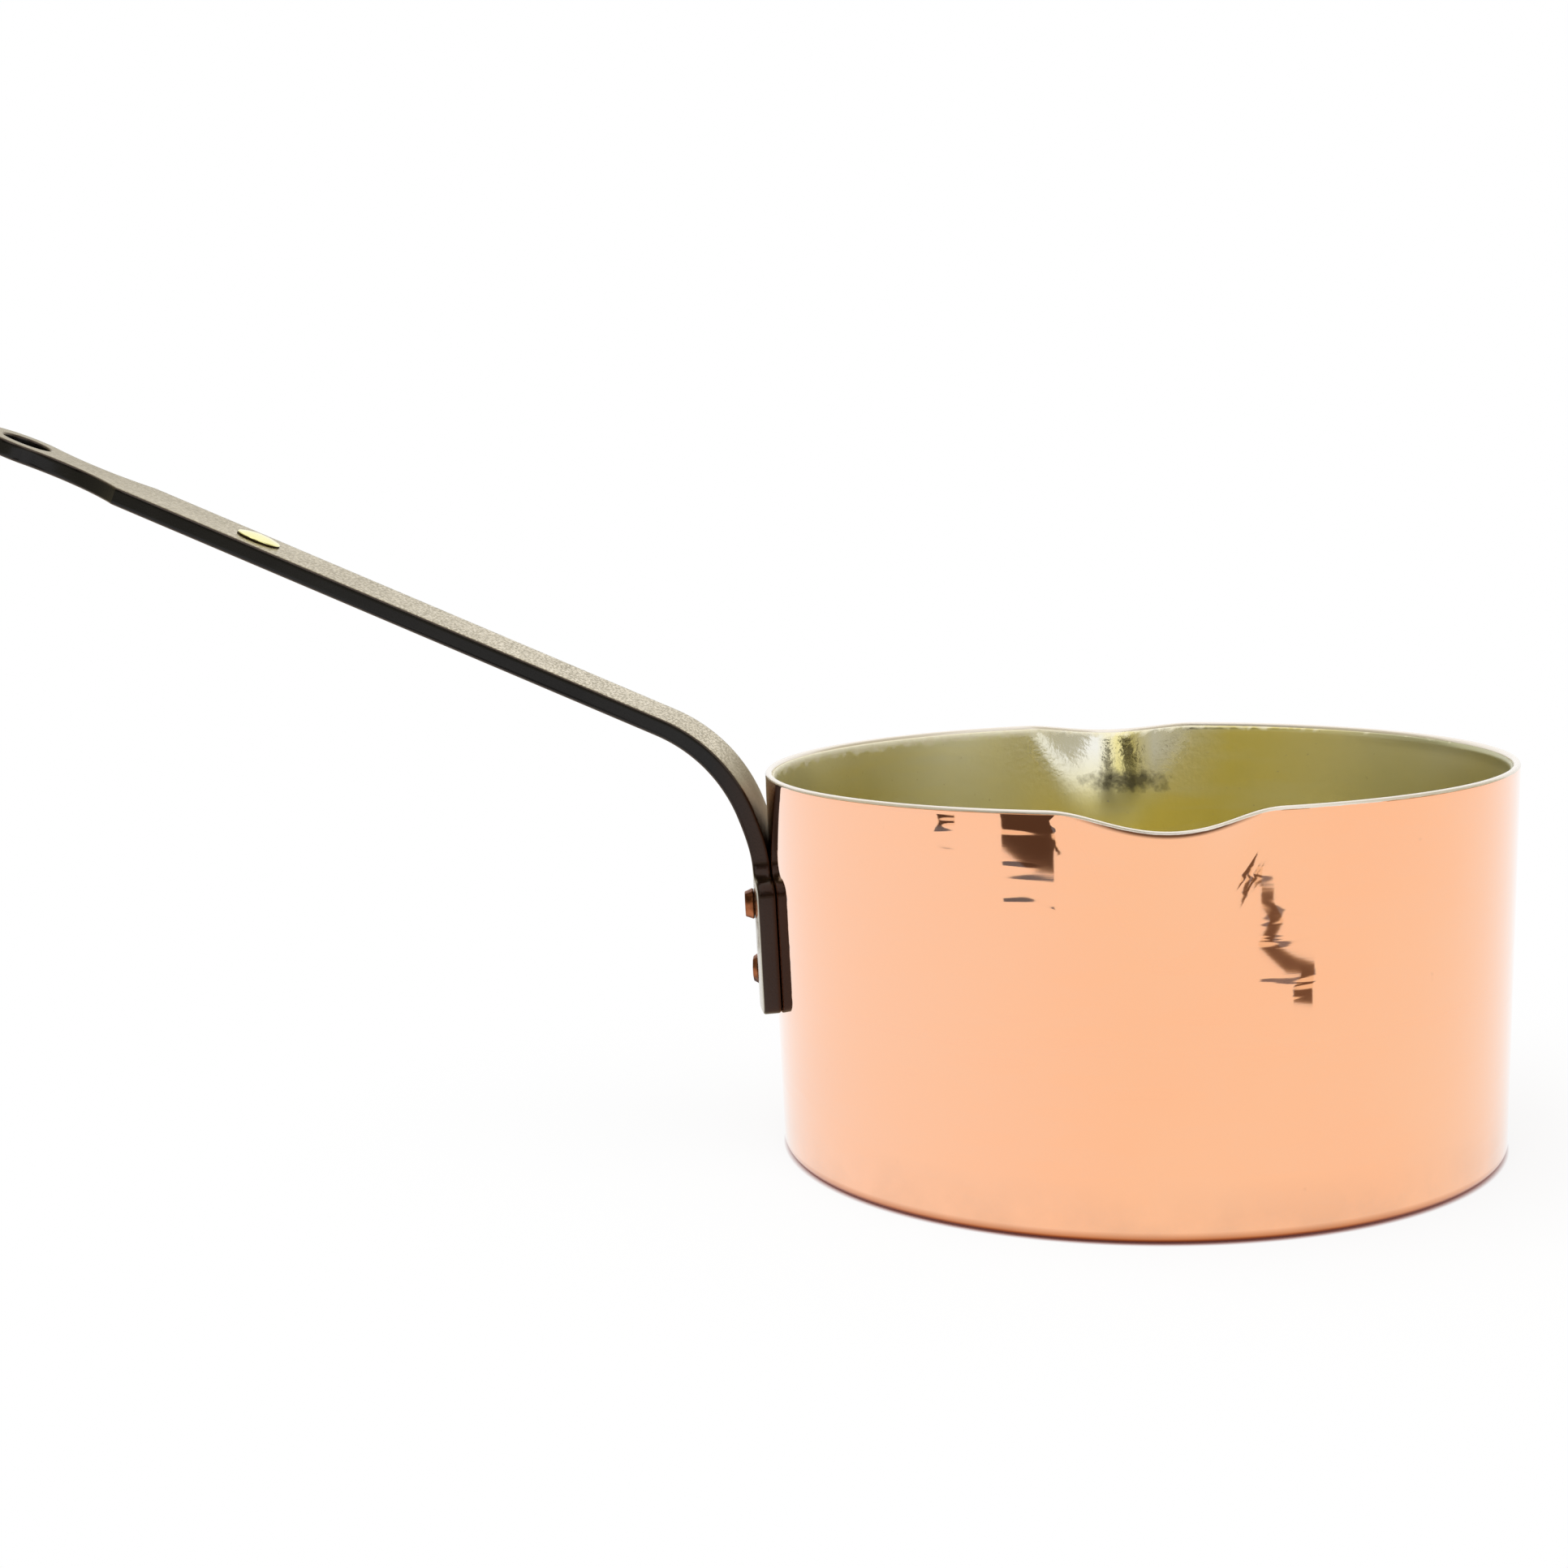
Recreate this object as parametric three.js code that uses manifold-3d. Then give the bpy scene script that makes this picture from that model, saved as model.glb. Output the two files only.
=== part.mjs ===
// Copper milk pan: a tinned copper pan with two pouring lips and a riveted iron handle.
// Millimetres, +Z up. The origin is the centre of the underside, the handle points along -X
// and the two lips point along -Y and +Y.
import * as THREE from 'three';
import { mergeVertices } from 'three/addons/utils/BufferGeometryUtils.js';
import Module from 'manifold-3d';

const wasm = await Module();
wasm.setup();

// Pan
const RIM_DIAMETER = 160;
const PAN_HEIGHT = 82.5;
const WALL_TAPER = 1.9; // the wall's radius grows by this much from the bottom to the rim
const COPPER_THICKNESS = 1.6;
const BASE_CORNER_RADIUS = 2.2;
const INSIDE_CORNER_RADIUS = 3;

// Tin lining
const TIN_THICKNESS = 0.4;
const LINING_GAP = 0.2;
const BARE_RIM = 1.4; // copper that shows above the edge of the tin

// Pouring lips, pressed out of the rim on both sides
const LIP_WIDTH = 45;
const LIP_REACH = 9;
const LIP_DROP = 2.6;
const LIP_DEPTH = 34;
const LIP_ROOT_WIDTH = 16;

// Handle, one bar of iron from the riveted foot to the hanging eye
const HANDLE_THICKNESS = 3.8;
const EDGE_CHAMFER = 0.6;
const FOOT_WIDTH = 40;
const FOOT_HEIGHT = 28.8;
const FOOT_BELOW_RIM = 22.4; // from the rim down to the shoulders of the foot
const FOOT_CORNER_RADIUS = 2.5;
const SHOULDER_ROUND = 3.4; // height of each of the two curves of a shoulder
const FOOT_GAP = 0.2;
const FOOT_TO_BEND = 2.2; // from the middle of the shoulders to the start of the bend
const BEND_RADIUS = 36.5; // on the upper face
const BAR_RISE_DEGREES = 24.4;
const BAR_LENGTH = 154.9; // from the end of the bend to the centre of the eye
const BAR_WIDTH = 24;
const EYE_DIAMETER = 20;
const EYE_HOLE_DIAMETER = 10.4;
const WAIST_WIDTH = 14.6;
const SCALLOP_RADIUS = 22;

// Rivets, two side by side above and one below
const RIVET_SHANK_DIAMETER = 5;
const RIVET_HOLE_CLEARANCE = 0.3; // on the radius
const RIVET_SEAT_GAP = 0.25;
const RIVET_HEAD_DIAMETER = 6.8;
const TALL_RIVET_HEAD_HEIGHT = 2;
const FLAT_RIVET_HEAD_HEIGHT = 1.35; // two of the three are hammered flatter
const RIVET_TIP_DIAMETER = 5.8;
const INNER_HEAD_DIAMETER = 9;
const INNER_HEAD_HEIGHT = 1.8;
const UPPER_RIVET_PITCH = 17;
const UPPER_RIVET_HEIGHT = 22.5; // above the lower edge of the foot
const LOWER_RIVET_HEIGHT = 6.3;

// Disc let into the top of the bar
const DISC_DIAMETER = 9.6;
const DISC_PROUD = 0.6;
const DISC_RECESS = 0.5;
const DISC_SEAT_GAP = 0.2;
const DISC_FROM_EYE = 56;

// Facets
const PAN_FACETS = 84;
const FACETS_TOWARDS_LIPS = 0.5; // 0 spaces the facets evenly, more draws them to the lips
const LIP_LEVELS = 7;
const CORNER_STEPS = 3;
const HOLE_FACETS = 28;
const RIVET_FACETS = 18;
const DISC_FACETS = 36;
const FOOT_FACETS = 6; // across the width of the handle

// Solids

// Joins equal corners and drops the triangles that collapse, so that the mesh is closed.
function weld(geometry) {
  const bare = geometry.clone();
  bare.deleteAttribute('normal');
  bare.deleteAttribute('uv');
  const joined = mergeVertices(bare, 1e-4);
  const index = joined.index.array;
  const kept = [];
  for (let i = 0; i < index.length; i += 3) {
    const [a, b, c] = [index[i], index[i + 1], index[i + 2]];
    if (a !== b && b !== c && c !== a) kept.push(a, b, c);
  }
  joined.setIndex(kept);
  return joined;
}

function toSolid(geometry) {
  const closed = weld(geometry);
  return new wasm.Manifold(new wasm.Mesh({
    numProp: 3,
    vertProperties: new Float32Array(closed.attributes.position.array),
    triVerts: new Uint32Array(closed.index.array),
  }));
}

function toGeometry(solid) {
  const mesh = solid.getMesh();
  const geometry = new THREE.BufferGeometry();
  geometry.setAttribute('position', new THREE.BufferAttribute(mesh.vertProperties, 3));
  geometry.setIndex(new THREE.BufferAttribute(mesh.triVerts, 1));
  return geometry;
}

function cutAway(geometry, cutters) {
  let solid = toSolid(geometry);
  for (const cutter of cutters) solid = solid.subtract(toSolid(cutter));
  return toGeometry(solid);
}

// Moves every corner of a mesh by a rule from its old place to its new one.
function reshape(geometry, rule) {
  const place = geometry.attributes.position;
  const point = new THREE.Vector3();
  for (let i = 0; i < place.count; i += 1) {
    point.fromBufferAttribute(place, i);
    rule(point);
    place.setXYZ(i, point.x, point.y, point.z);
  }
  return geometry;
}

function spread(from, to, steps) {
  return Array.from({ length: steps + 1 }, (_, i) => from + ((to - from) * i) / steps);
}

// Points of a circular arc, angles in degrees from the profile's outward axis.
function arc(centreX, centreY, radius, fromDegrees, toDegrees, steps) {
  return spread(fromDegrees, toDegrees, steps).map((degrees) => {
    const angle = THREE.MathUtils.degToRad(degrees);
    return new THREE.Vector2(centreX + radius * Math.cos(angle), centreY + radius * Math.sin(angle));
  });
}

function addMesh(parent, name, geometry, material) {
  const mesh = new THREE.Mesh(weld(geometry), material);
  mesh.geometry.computeVertexNormals();
  mesh.name = name;
  parent.add(mesh);
  return mesh;
}

// Materials

const copper = new THREE.MeshStandardMaterial({ color: 0xf0a884, roughness: 0.12, metalness: 1 });
const tin = new THREE.MeshStandardMaterial({ color: 0xb9b08a, roughness: 0.38, metalness: 1 });
const iron = new THREE.MeshStandardMaterial({ color: 0x4a4542, roughness: 0.5, metalness: 0.8 });
const rivetCopper = new THREE.MeshStandardMaterial({ color: 0xb8683c, roughness: 0.35, metalness: 1 });
const brass = new THREE.MeshStandardMaterial({ color: 0xd9b55c, roughness: 0.22, metalness: 1 });

// Pan wall

const rimRadius = RIM_DIAMETER / 2;
const wallLean = Math.atan2(WALL_TAPER, PAN_HEIGHT);

// Outer radius of the wall at a height above the underside.
function wallRadius(z) {
  return rimRadius - WALL_TAPER * (1 - z / PAN_HEIGHT);
}

// How far a lip pushes the wall out, as a share from 0 to 1: a bell along the rim that grows
// narrower and flatter towards the root of the lip.
function lipShare(angleFromLip, z) {
  const growth = THREE.MathUtils.clamp((z - PAN_HEIGHT + LIP_DEPTH) / LIP_DEPTH, 0, 1);
  const halfBell = THREE.MathUtils.lerp(LIP_ROOT_WIDTH, LIP_WIDTH, growth) / 2;
  const along = Math.abs(angleFromLip) * rimRadius;
  if (along >= halfBell) return 0;
  return growth * growth * 0.5 * (1 + Math.cos((Math.PI * along) / halfBell));
}

// Splits each four-sided facet of a turned shell along the diagonal that bulges further out, so
// that two shells lying against each other are split alike.
function splitOutwards(shell) {
  const place = shell.attributes.position;
  const index = shell.index.array;
  const middle = (i, j) => Math.hypot(
    place.getX(i) + place.getX(j),
    place.getY(i) + place.getY(j),
  );
  for (let i = 0; i < index.length; i += 6) {
    const [a, b, d, c] = index.slice(i, i + 4);
    if (middle(a, c) > middle(b, d)) index.set([a, b, c, a, c, d], i);
  }
  return shell;
}

// Turns a closed profile into a round shell and presses the two lips out of it.
function pressedShell(profile) {
  const shell = new THREE.LatheGeometry(profile, PAN_FACETS);
  shell.rotateX(Math.PI / 2);
  reshape(shell, (point) => {
    const radius = Math.hypot(point.x, point.y);
    const even = Math.atan2(point.x, -point.y);
    const angle = even - (FACETS_TOWARDS_LIPS / 2) * Math.sin(2 * even);
    const fromLip = Math.atan(Math.tan(angle));
    const share = radius > rimRadius / 2 ? lipShare(fromLip, point.z) : 0;
    const pressed = radius + LIP_REACH * share;
    point.set(pressed * Math.sin(angle), -pressed * Math.cos(angle), point.z - LIP_DROP * share);
  });
  return splitOutwards(shell);
}

// Heights of the rings of facets between the root of the lips and a level near the rim.
function lipLevels(top) {
  return spread(PAN_HEIGHT - LIP_DEPTH, top, LIP_LEVELS);
}

// Inner face of the pan, set in from the copper's outer face, as profile points from the top
// level down to the axis.
function insideFace(inset, levels) {
  const corner = Math.max(INSIDE_CORNER_RADIUS - (inset - COPPER_THICKNESS), 0.2);
  const floor = inset;
  const centreX = wallRadius(floor + corner) - inset - corner;
  const down = [...levels].reverse().map((z) => new THREE.Vector2(wallRadius(z) - inset, z));
  return [
    ...down,
    ...arc(centreX, floor + corner, corner, 0, -90, CORNER_STEPS),
    new THREE.Vector2(0, floor),
  ];
}

const rimRound = COPPER_THICKNESS / 2;
const tinTop = PAN_HEIGHT - BARE_RIM;
const innerLevels = lipLevels(tinTop);
const copperTop = Math.max(PAN_HEIGHT - rimRound, tinTop + 0.1);

// Copper shell: underside, outer wall, rounded rim, inner wall and floor.
function panBody() {
  const cornerX = wallRadius(BASE_CORNER_RADIUS) - BASE_CORNER_RADIUS;
  const profile = [
    new THREE.Vector2(0, 0),
    ...arc(cornerX, BASE_CORNER_RADIUS, BASE_CORNER_RADIUS, -90, 0, CORNER_STEPS),
    ...[...innerLevels, copperTop].map((z) => new THREE.Vector2(wallRadius(z), z)),
    ...arc(rimRadius - rimRound, PAN_HEIGHT - rimRound, rimRound, 30, 150, 4),
    ...insideFace(COPPER_THICKNESS, [...innerLevels, copperTop]),
  ];
  return pressedShell(profile);
}

// Tin layer that lies against the copper's inner face.
function tinLining() {
  const outside = insideFace(COPPER_THICKNESS + LINING_GAP, innerLevels).reverse();
  const inside = insideFace(COPPER_THICKNESS + LINING_GAP + TIN_THICKNESS, innerLevels);
  return pressedShell([...outside, ...inside]);
}

// Handle

const footBottom = PAN_HEIGHT - FOOT_BELOW_RIM - FOOT_HEIGHT;
const rise = THREE.MathUtils.degToRad(BAR_RISE_DEGREES);
const bendTurn = Math.PI / 2 - wallLean - rise;
const bendStart = FOOT_HEIGHT + FOOT_TO_BEND;
const bendEnd = bendStart + BEND_RADIUS * bendTurn;
const eyeAt = bendEnd + BAR_LENGTH;
const eyeRadius = EYE_DIAMETER / 2;
const shoulder = (FOOT_WIDTH - BAR_WIDTH) / 2;

// The scallops on both sides of the waist run tangent into the round of the eye.
const scallopCentre = WAIST_WIDTH / 2 + SCALLOP_RADIUS;
const waistToEye = Math.sqrt((SCALLOP_RADIUS + eyeRadius) ** 2 - scallopCentre ** 2);
const waistAt = eyeAt - waistToEye;
const eyeTangentAt = eyeAt - (eyeRadius * waistToEye) / (SCALLOP_RADIUS + eyeRadius);
const scallopDepth = (BAR_WIDTH - WAIST_WIDTH) / 2;
const scallopAt = waistAt - Math.sqrt(SCALLOP_RADIUS ** 2 - (SCALLOP_RADIUS - scallopDepth) ** 2);

// Upper face of the handle on its middle plane: distance out from the pan's axis, height and
// slope, at a length along the bar from the lower edge of the foot.
function barPath(length) {
  const onWall = Math.min(length, bendStart);
  const turned = THREE.MathUtils.clamp((length - bendStart) / BEND_RADIUS, 0, bendTurn);
  const beyond = Math.max(length - bendEnd, 0);
  const slope = Math.PI / 2 - wallLean - turned;
  const startSlope = Math.PI / 2 - wallLean;
  const arcOut = BEND_RADIUS * (Math.sin(startSlope) - Math.sin(slope));
  const arcUp = BEND_RADIUS * (Math.cos(slope) - Math.cos(startSlope));
  return {
    out: wallRadius(footBottom) + FOOT_GAP + onWall * Math.cos(startSlope) + arcOut
      + beyond * Math.cos(slope),
    up: footBottom + onWall * Math.sin(startSlope) + arcUp + beyond * Math.sin(slope),
    slope,
  };
}

// Half of the handle's width at a length along the bar.
function halfWidth(length) {
  const half = shoulder / 2;
  if (length < FOOT_CORNER_RADIUS) {
    const inset = FOOT_CORNER_RADIUS - length;
    return FOOT_WIDTH / 2 - FOOT_CORNER_RADIUS + Math.sqrt(FOOT_CORNER_RADIUS ** 2 - inset ** 2);
  }
  const fromShoulder = (length - FOOT_HEIGHT) / SHOULDER_ROUND;
  if (fromShoulder < -1) return FOOT_WIDTH / 2;
  if (fromShoulder < 0) return FOOT_WIDTH / 2 - half + half * Math.sqrt(1 - (1 + fromShoulder) ** 2);
  if (fromShoulder < 1) return BAR_WIDTH / 2 + half - half * Math.sqrt(1 - (1 - fromShoulder) ** 2);
  if (length < scallopAt) return BAR_WIDTH / 2;
  if (length < eyeTangentAt) {
    return scallopCentre - Math.sqrt(SCALLOP_RADIUS ** 2 - (length - waistAt) ** 2);
  }
  return Math.sqrt(eyeRadius ** 2 - (length - eyeAt) ** 2);
}

// Lengths along the bar at which its section is set, close together where the outline curves.
function barStations() {
  const quarter = spread(0, 90, 4).map(THREE.MathUtils.degToRad);
  const tangent = Math.acos(waistToEye / (SCALLOP_RADIUS + eyeRadius));
  const round = spread(Math.PI - tangent, THREE.MathUtils.degToRad(10), 11);
  const lengths = [
    ...quarter.map((angle) => FOOT_CORNER_RADIUS * (1 - Math.cos(angle))),
    ...spread(FOOT_CORNER_RADIUS, FOOT_HEIGHT - SHOULDER_ROUND, 2),
    ...quarter.map((angle) => FOOT_HEIGHT - SHOULDER_ROUND * (1 - Math.sin(angle))),
    ...quarter.map((angle) => FOOT_HEIGHT + SHOULDER_ROUND * (1 - Math.cos(angle))),
    ...spread(Math.max(bendStart, FOOT_HEIGHT + SHOULDER_ROUND), bendEnd, 12),
    ...spread(bendEnd, scallopAt, 3),
    ...spread(scallopAt, eyeTangentAt, 9),
    ...round.map((angle) => eyeAt + eyeRadius * Math.cos(angle)),
  ];
  lengths.sort((a, b) => a - b);
  return lengths.filter((length, i) => i === 0 || length - lengths[i - 1] > 0.02);
}

// The bar is forged from a straight blank: drawn to its outline, chamfered along its edges,
// bent away from the wall, and with the foot curved to lie on the pan.
function handleBar() {
  const stations = barStations();
  const last = stations.length - 1;
  const blank = new THREE.BoxGeometry(last, FOOT_FACETS, 3, last, FOOT_FACETS, 3);
  return reshape(blank, (point) => {
    const length = stations[Math.round(point.x + last / 2)];
    const across = point.y / (FOOT_FACETS / 2);
    const layer = Math.round(point.z + 1.5);
    const depth = [0, EDGE_CHAMFER, HANDLE_THICKNESS - EDGE_CHAMFER, HANDLE_THICKNESS][layer];
    const trim = layer === 0 || layer === 3 ? EDGE_CHAMFER : 0;
    const side = across * (halfWidth(length) - trim);
    const path = barPath(length);
    const hug = 1 - THREE.MathUtils.smoothstep(length, FOOT_HEIGHT, bendStart + BEND_RADIUS / 3);
    const curve = Math.max(hug, 1e-4) / path.out;
    const swung = curve * side;
    const y = (1 / curve + depth) * Math.sin(swung);
    const away = (1 / curve + depth) * Math.cos(swung) - 1 / curve;
    const out = path.out + away * Math.sin(path.slope);
    point.set(-out, y, path.up - away * Math.cos(path.slope));
  });
}

// Straight part of the bar as a frame of its own: origin at the centre of the eye on the upper
// face, x back along the bar towards the pan, z square to the upper face.
const barFrame = new THREE.Group();
barFrame.position.set(-barPath(eyeAt).out, 0, barPath(eyeAt).up);
barFrame.rotation.y = rise;
barFrame.updateMatrix();

// Round cutter that stands on the bar's upper face at a distance back from the eye.
function barCutter(diameter, facets, fromEye, depth) {
  const height = depth + HANDLE_THICKNESS;
  const cutter = new THREE.CylinderGeometry(diameter / 2, diameter / 2, height, facets);
  cutter.rotateX(Math.PI / 2);
  cutter.translate(fromEye, 0, height / 2 - depth);
  return cutter.applyMatrix4(barFrame.matrix);
}

// Rivets

const apart = UPPER_RIVET_PITCH / 2;
const tall = TALL_RIVET_HEAD_HEIGHT;
const flat = FLAT_RIVET_HEAD_HEIGHT;
const rivetPlaces = [
  { name: 'rivet_upper_front', side: apart, height: UPPER_RIVET_HEIGHT, head: tall },
  { name: 'rivet_upper_rear', side: -apart, height: UPPER_RIVET_HEIGHT, head: flat },
  { name: 'rivet_lower', side: 0, height: LOWER_RIVET_HEIGHT, head: flat },
];

// A frame on the wall's outer face for each rivet: -x points out of the wall.
for (const place of rivetPlaces) {
  const z = footBottom + place.height * Math.cos(wallLean);
  place.turn = new THREE.Group();
  place.turn.rotation.z = place.side / wallRadius(z);
  place.seat = new THREE.Group();
  place.seat.position.set(-wallRadius(z), 0, z);
  place.seat.rotation.y = -wallLean;
  place.turn.add(place.seat);
  place.turn.updateMatrixWorld(true);
}

// Inside, the flat underside of the head stands clear of the hollow wall at its edge.
const hollow = INNER_HEAD_DIAMETER ** 2 / 8 / (rimRadius - WALL_TAPER);
const lined = COPPER_THICKNESS + LINING_GAP + TIN_THICKNESS;
const gripInside = lined + hollow + RIVET_SEAT_GAP;
const gripOutside = FOOT_GAP + HANDLE_THICKNESS + RIVET_SEAT_GAP;

// Low round head inside the pan, shank through lining, wall and foot, and a hammered cone outside.
function rivet(headHeight) {
  const domeRadius = (INNER_HEAD_DIAMETER ** 2 / 4 + INNER_HEAD_HEIGHT ** 2) / (2 * INNER_HEAD_HEIGHT);
  const domeCentre = domeRadius - gripInside - INNER_HEAD_HEIGHT;
  const domeSpan = THREE.MathUtils.radToDeg(Math.asin(INNER_HEAD_DIAMETER / 2 / domeRadius));
  const shank = RIVET_SHANK_DIAMETER / 2;
  const tip = gripOutside + headHeight;
  const edge = headHeight * 0.2;
  const profile = [
    new THREE.Vector2(0, domeCentre - domeRadius),
    ...arc(0, domeCentre, domeRadius, -90, domeSpan - 90, 4).slice(1),
    new THREE.Vector2(shank, -gripInside),
    new THREE.Vector2(shank, gripOutside),
    new THREE.Vector2(RIVET_HEAD_DIAMETER / 2, gripOutside),
    new THREE.Vector2(RIVET_HEAD_DIAMETER / 2, gripOutside + edge),
    new THREE.Vector2(RIVET_TIP_DIAMETER / 2, tip - edge),
    new THREE.Vector2(RIVET_TIP_DIAMETER / 2 - edge, tip),
    new THREE.Vector2(0, tip),
  ];
  return new THREE.LatheGeometry(profile, RIVET_FACETS).rotateZ(Math.PI / 2);
}

function rivetHoles() {
  const radius = RIVET_SHANK_DIAMETER / 2 + RIVET_HOLE_CLEARANCE;
  const reach = 4 * (gripInside + gripOutside);
  return rivetPlaces.map((place) => {
    const drill = new THREE.CylinderGeometry(radius, radius, reach, RIVET_FACETS);
    return drill.rotateZ(Math.PI / 2).applyMatrix4(place.seat.matrixWorld);
  });
}

// Assembly

const milkPan = new THREE.Group();

addMesh(milkPan, 'pan_body', cutAway(panBody(), rivetHoles()), copper);
addMesh(milkPan, 'tin_lining', cutAway(tinLining(), rivetHoles()), tin);

const eyeHole = barCutter(EYE_HOLE_DIAMETER, HOLE_FACETS, 0, 2 * HANDLE_THICKNESS);
const recessDiameter = DISC_DIAMETER + 2 * DISC_SEAT_GAP;
const discRecess = barCutter(recessDiameter, DISC_FACETS, DISC_FROM_EYE, DISC_RECESS);
addMesh(milkPan, 'handle', cutAway(handleBar(), [...rivetHoles(), eyeHole, discRecess]), iron);

for (const place of rivetPlaces) {
  addMesh(place.seat, place.name, rivet(place.head), rivetCopper);
  milkPan.add(place.turn);
}

const discHeight = DISC_PROUD + DISC_RECESS - DISC_SEAT_GAP;
const disc = new THREE.CylinderGeometry(DISC_DIAMETER / 2, DISC_DIAMETER / 2, discHeight, DISC_FACETS);
disc.rotateX(Math.PI / 2);
disc.translate(DISC_FROM_EYE, 0, DISC_PROUD - discHeight / 2);
addMesh(barFrame, 'brass_disc', disc, brass);
milkPan.add(barFrame);

export default milkPan;
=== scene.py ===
import math

import bpy
from mathutils import Matrix, Vector


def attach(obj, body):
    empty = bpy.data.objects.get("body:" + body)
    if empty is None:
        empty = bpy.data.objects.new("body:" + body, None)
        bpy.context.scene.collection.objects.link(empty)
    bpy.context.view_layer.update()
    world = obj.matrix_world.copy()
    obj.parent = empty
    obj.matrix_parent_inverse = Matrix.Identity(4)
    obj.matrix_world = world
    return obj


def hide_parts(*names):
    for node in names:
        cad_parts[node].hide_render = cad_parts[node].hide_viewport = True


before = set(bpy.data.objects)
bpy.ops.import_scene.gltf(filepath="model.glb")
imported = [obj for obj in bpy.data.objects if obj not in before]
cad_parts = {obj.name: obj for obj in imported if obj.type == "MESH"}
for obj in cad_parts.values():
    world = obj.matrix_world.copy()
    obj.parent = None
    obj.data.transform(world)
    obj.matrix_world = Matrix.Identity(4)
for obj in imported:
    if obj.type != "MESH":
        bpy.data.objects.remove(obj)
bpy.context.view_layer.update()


# ---- Pan body ------------------------------------------------------------------------------
# One sheet of copper, spun to a pan with a flat bottom, a wall that leans out a little and a
# rounded rim. Two pouring lips are pressed out of the wall, and the outside is polished bright.

RIM_RADIUS = 0.080
PAN_HEIGHT = 0.0825
WALL_TAPER = 0.0019
COPPER = 0.0016
BASE_CORNER = 0.0022
INSIDE_CORNER = 0.003
LEAST_CORNER = 0.0002
WALL_START = 0.006
WALL_LEAN = math.atan2(WALL_TAPER, PAN_HEIGHT)
LIPS = {
    "Rim Radius": RIM_RADIUS,
    "Pan Height": PAN_HEIGHT,
    "Lip Width": 0.045,
    "Root Width": 0.016,
    "Reach": 0.009,
    "Drop": 0.0026,
    "Depth": 0.034,
}
# Painted shade under the rim at the lips: how far below the rim it lies, and its fade.
UNDER_RIM_LINE = 0.0021
UNDER_RIM_FADE = 0.0010
SKIN = 0.0002
# Where the round of the base and its lowest line are painted dark, as reflected contact shadow.
HEEL_RADIUS = 0.0747
HEEL_FADE = 0.00111
HEEL_FROM, HEEL_TO = 0.0025, 0.00083
DARK_FROM, DARK_TO = 0.001, 0.00009
# Where the wall is painted paler towards the handle, as a painted highlight.
PAINTED_LIGHT_FROM, PAINTED_LIGHT_TO = -0.00625, -0.06875
RIM_EDGE_TINNED = 0.6
PAN_FACETS = 420
FOOT_BOTTOM = 0.0313
RIVET_HOLE = 0.0028
DRILL_REACH = 0.008
DRILL_FACETS = 40
# Node of each rivet, its place across and up the foot, its head's height and its turn in degrees.
RIVETS = [
    ("rivet_upper_front", 0.0085, 0.0225, 0.0020, 10),
    ("rivet_upper_rear", -0.0085, 0.0225, 0.00135, 100),
    ("rivet_lower", 0.0, 0.0063, 0.00135, 205),
]


def spread(start, end, steps):
    return [start + (end - start) * i / steps for i in range(steps + 1)]


def arc(centre_x, centre_z, radius, start, end, steps):
    """Points of a circular arc in a profile, angles in degrees from the outward axis."""
    return [
        (
            centre_x + radius * math.cos(math.radians(a)),
            centre_z + radius * math.sin(math.radians(a)),
        )
        for a in spread(start, end, steps)
    ]


def wall_radius(z):
    return RIM_RADIUS - WALL_TAPER * (1 - z / PAN_HEIGHT)


def turned(profile, facets):
    """Corners and faces of a solid turned about Z. The profile starts and ends on the axis."""
    rings = profile[1:-1]
    corners = []
    for radius, z in rings:
        for i in range(facets):
            a = 2 * math.pi * i / facets
            corners.append((radius * math.cos(a), radius * math.sin(a), z))
    faces = []
    for j in range(len(rings) - 1):
        for i in range(facets):
            near, far = j * facets + i, j * facets + (i + 1) % facets
            faces.append((near, far, far + facets, near + facets))
    first, last = len(corners), len(corners) + 1
    corners += [(0, 0, profile[0][1]), (0, 0, profile[-1][1])]
    top = (len(rings) - 1) * facets
    for i in range(facets):
        j = (i + 1) % facets
        faces.append((first, j, i))
        faces.append((last, top + i, top + j))
    return corners, faces


def new_piece(name, corners, faces):
    mesh = bpy.data.meshes.new(name)
    mesh.from_pydata(corners, [], faces)
    mesh.polygons.foreach_set("use_smooth", [True] * len(mesh.polygons))
    piece = bpy.data.objects.new(name, mesh)
    bpy.context.scene.collection.objects.link(piece)
    return piece


def mark(piece, attribute, values):
    """Stores a number for each corner of a piece, for its nodes to read."""
    layer = piece.data.attributes.new(attribute, "FLOAT", "POINT")
    layer.data.foreach_set("value", values)


def keep_result(piece):
    """Makes what the piece's modifiers give its own plain mesh, and removes them."""
    bpy.context.view_layer.update()
    graph = bpy.context.evaluated_depsgraph_get()
    made = bpy.data.meshes.new_from_object(
        piece.evaluated_get(graph), preserve_all_data_layers=True, depsgraph=graph
    )
    old = piece.data
    piece.modifiers.clear()
    piece.data = made
    bpy.data.meshes.remove(old)
    made.name = piece.name


def shape_by(piece, tree, values):
    """Runs a Geometry Nodes tree with these named inputs on a piece and keeps the result."""
    modifier = piece.modifiers.new(tree.name, "NODES")
    modifier.node_group = tree
    for item in tree.interface.items_tree:
        if item.item_type == "SOCKET" and item.in_out == "INPUT" and item.name in values:
            modifier[item.identifier] = values[item.name]
    keep_result(piece)


def cut_away(piece, cutters):
    """Cuts the cutters' solids out of a piece."""
    for cutter in cutters:
        modifier = piece.modifiers.new("cut", "BOOLEAN")
        modifier.operation = "DIFFERENCE"
        modifier.solver = "EXACT"
        modifier.object = cutter
    keep_result(piece)
    for cutter in cutters:
        mesh = cutter.data
        bpy.data.objects.remove(cutter)
        bpy.data.meshes.remove(mesh)


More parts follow.
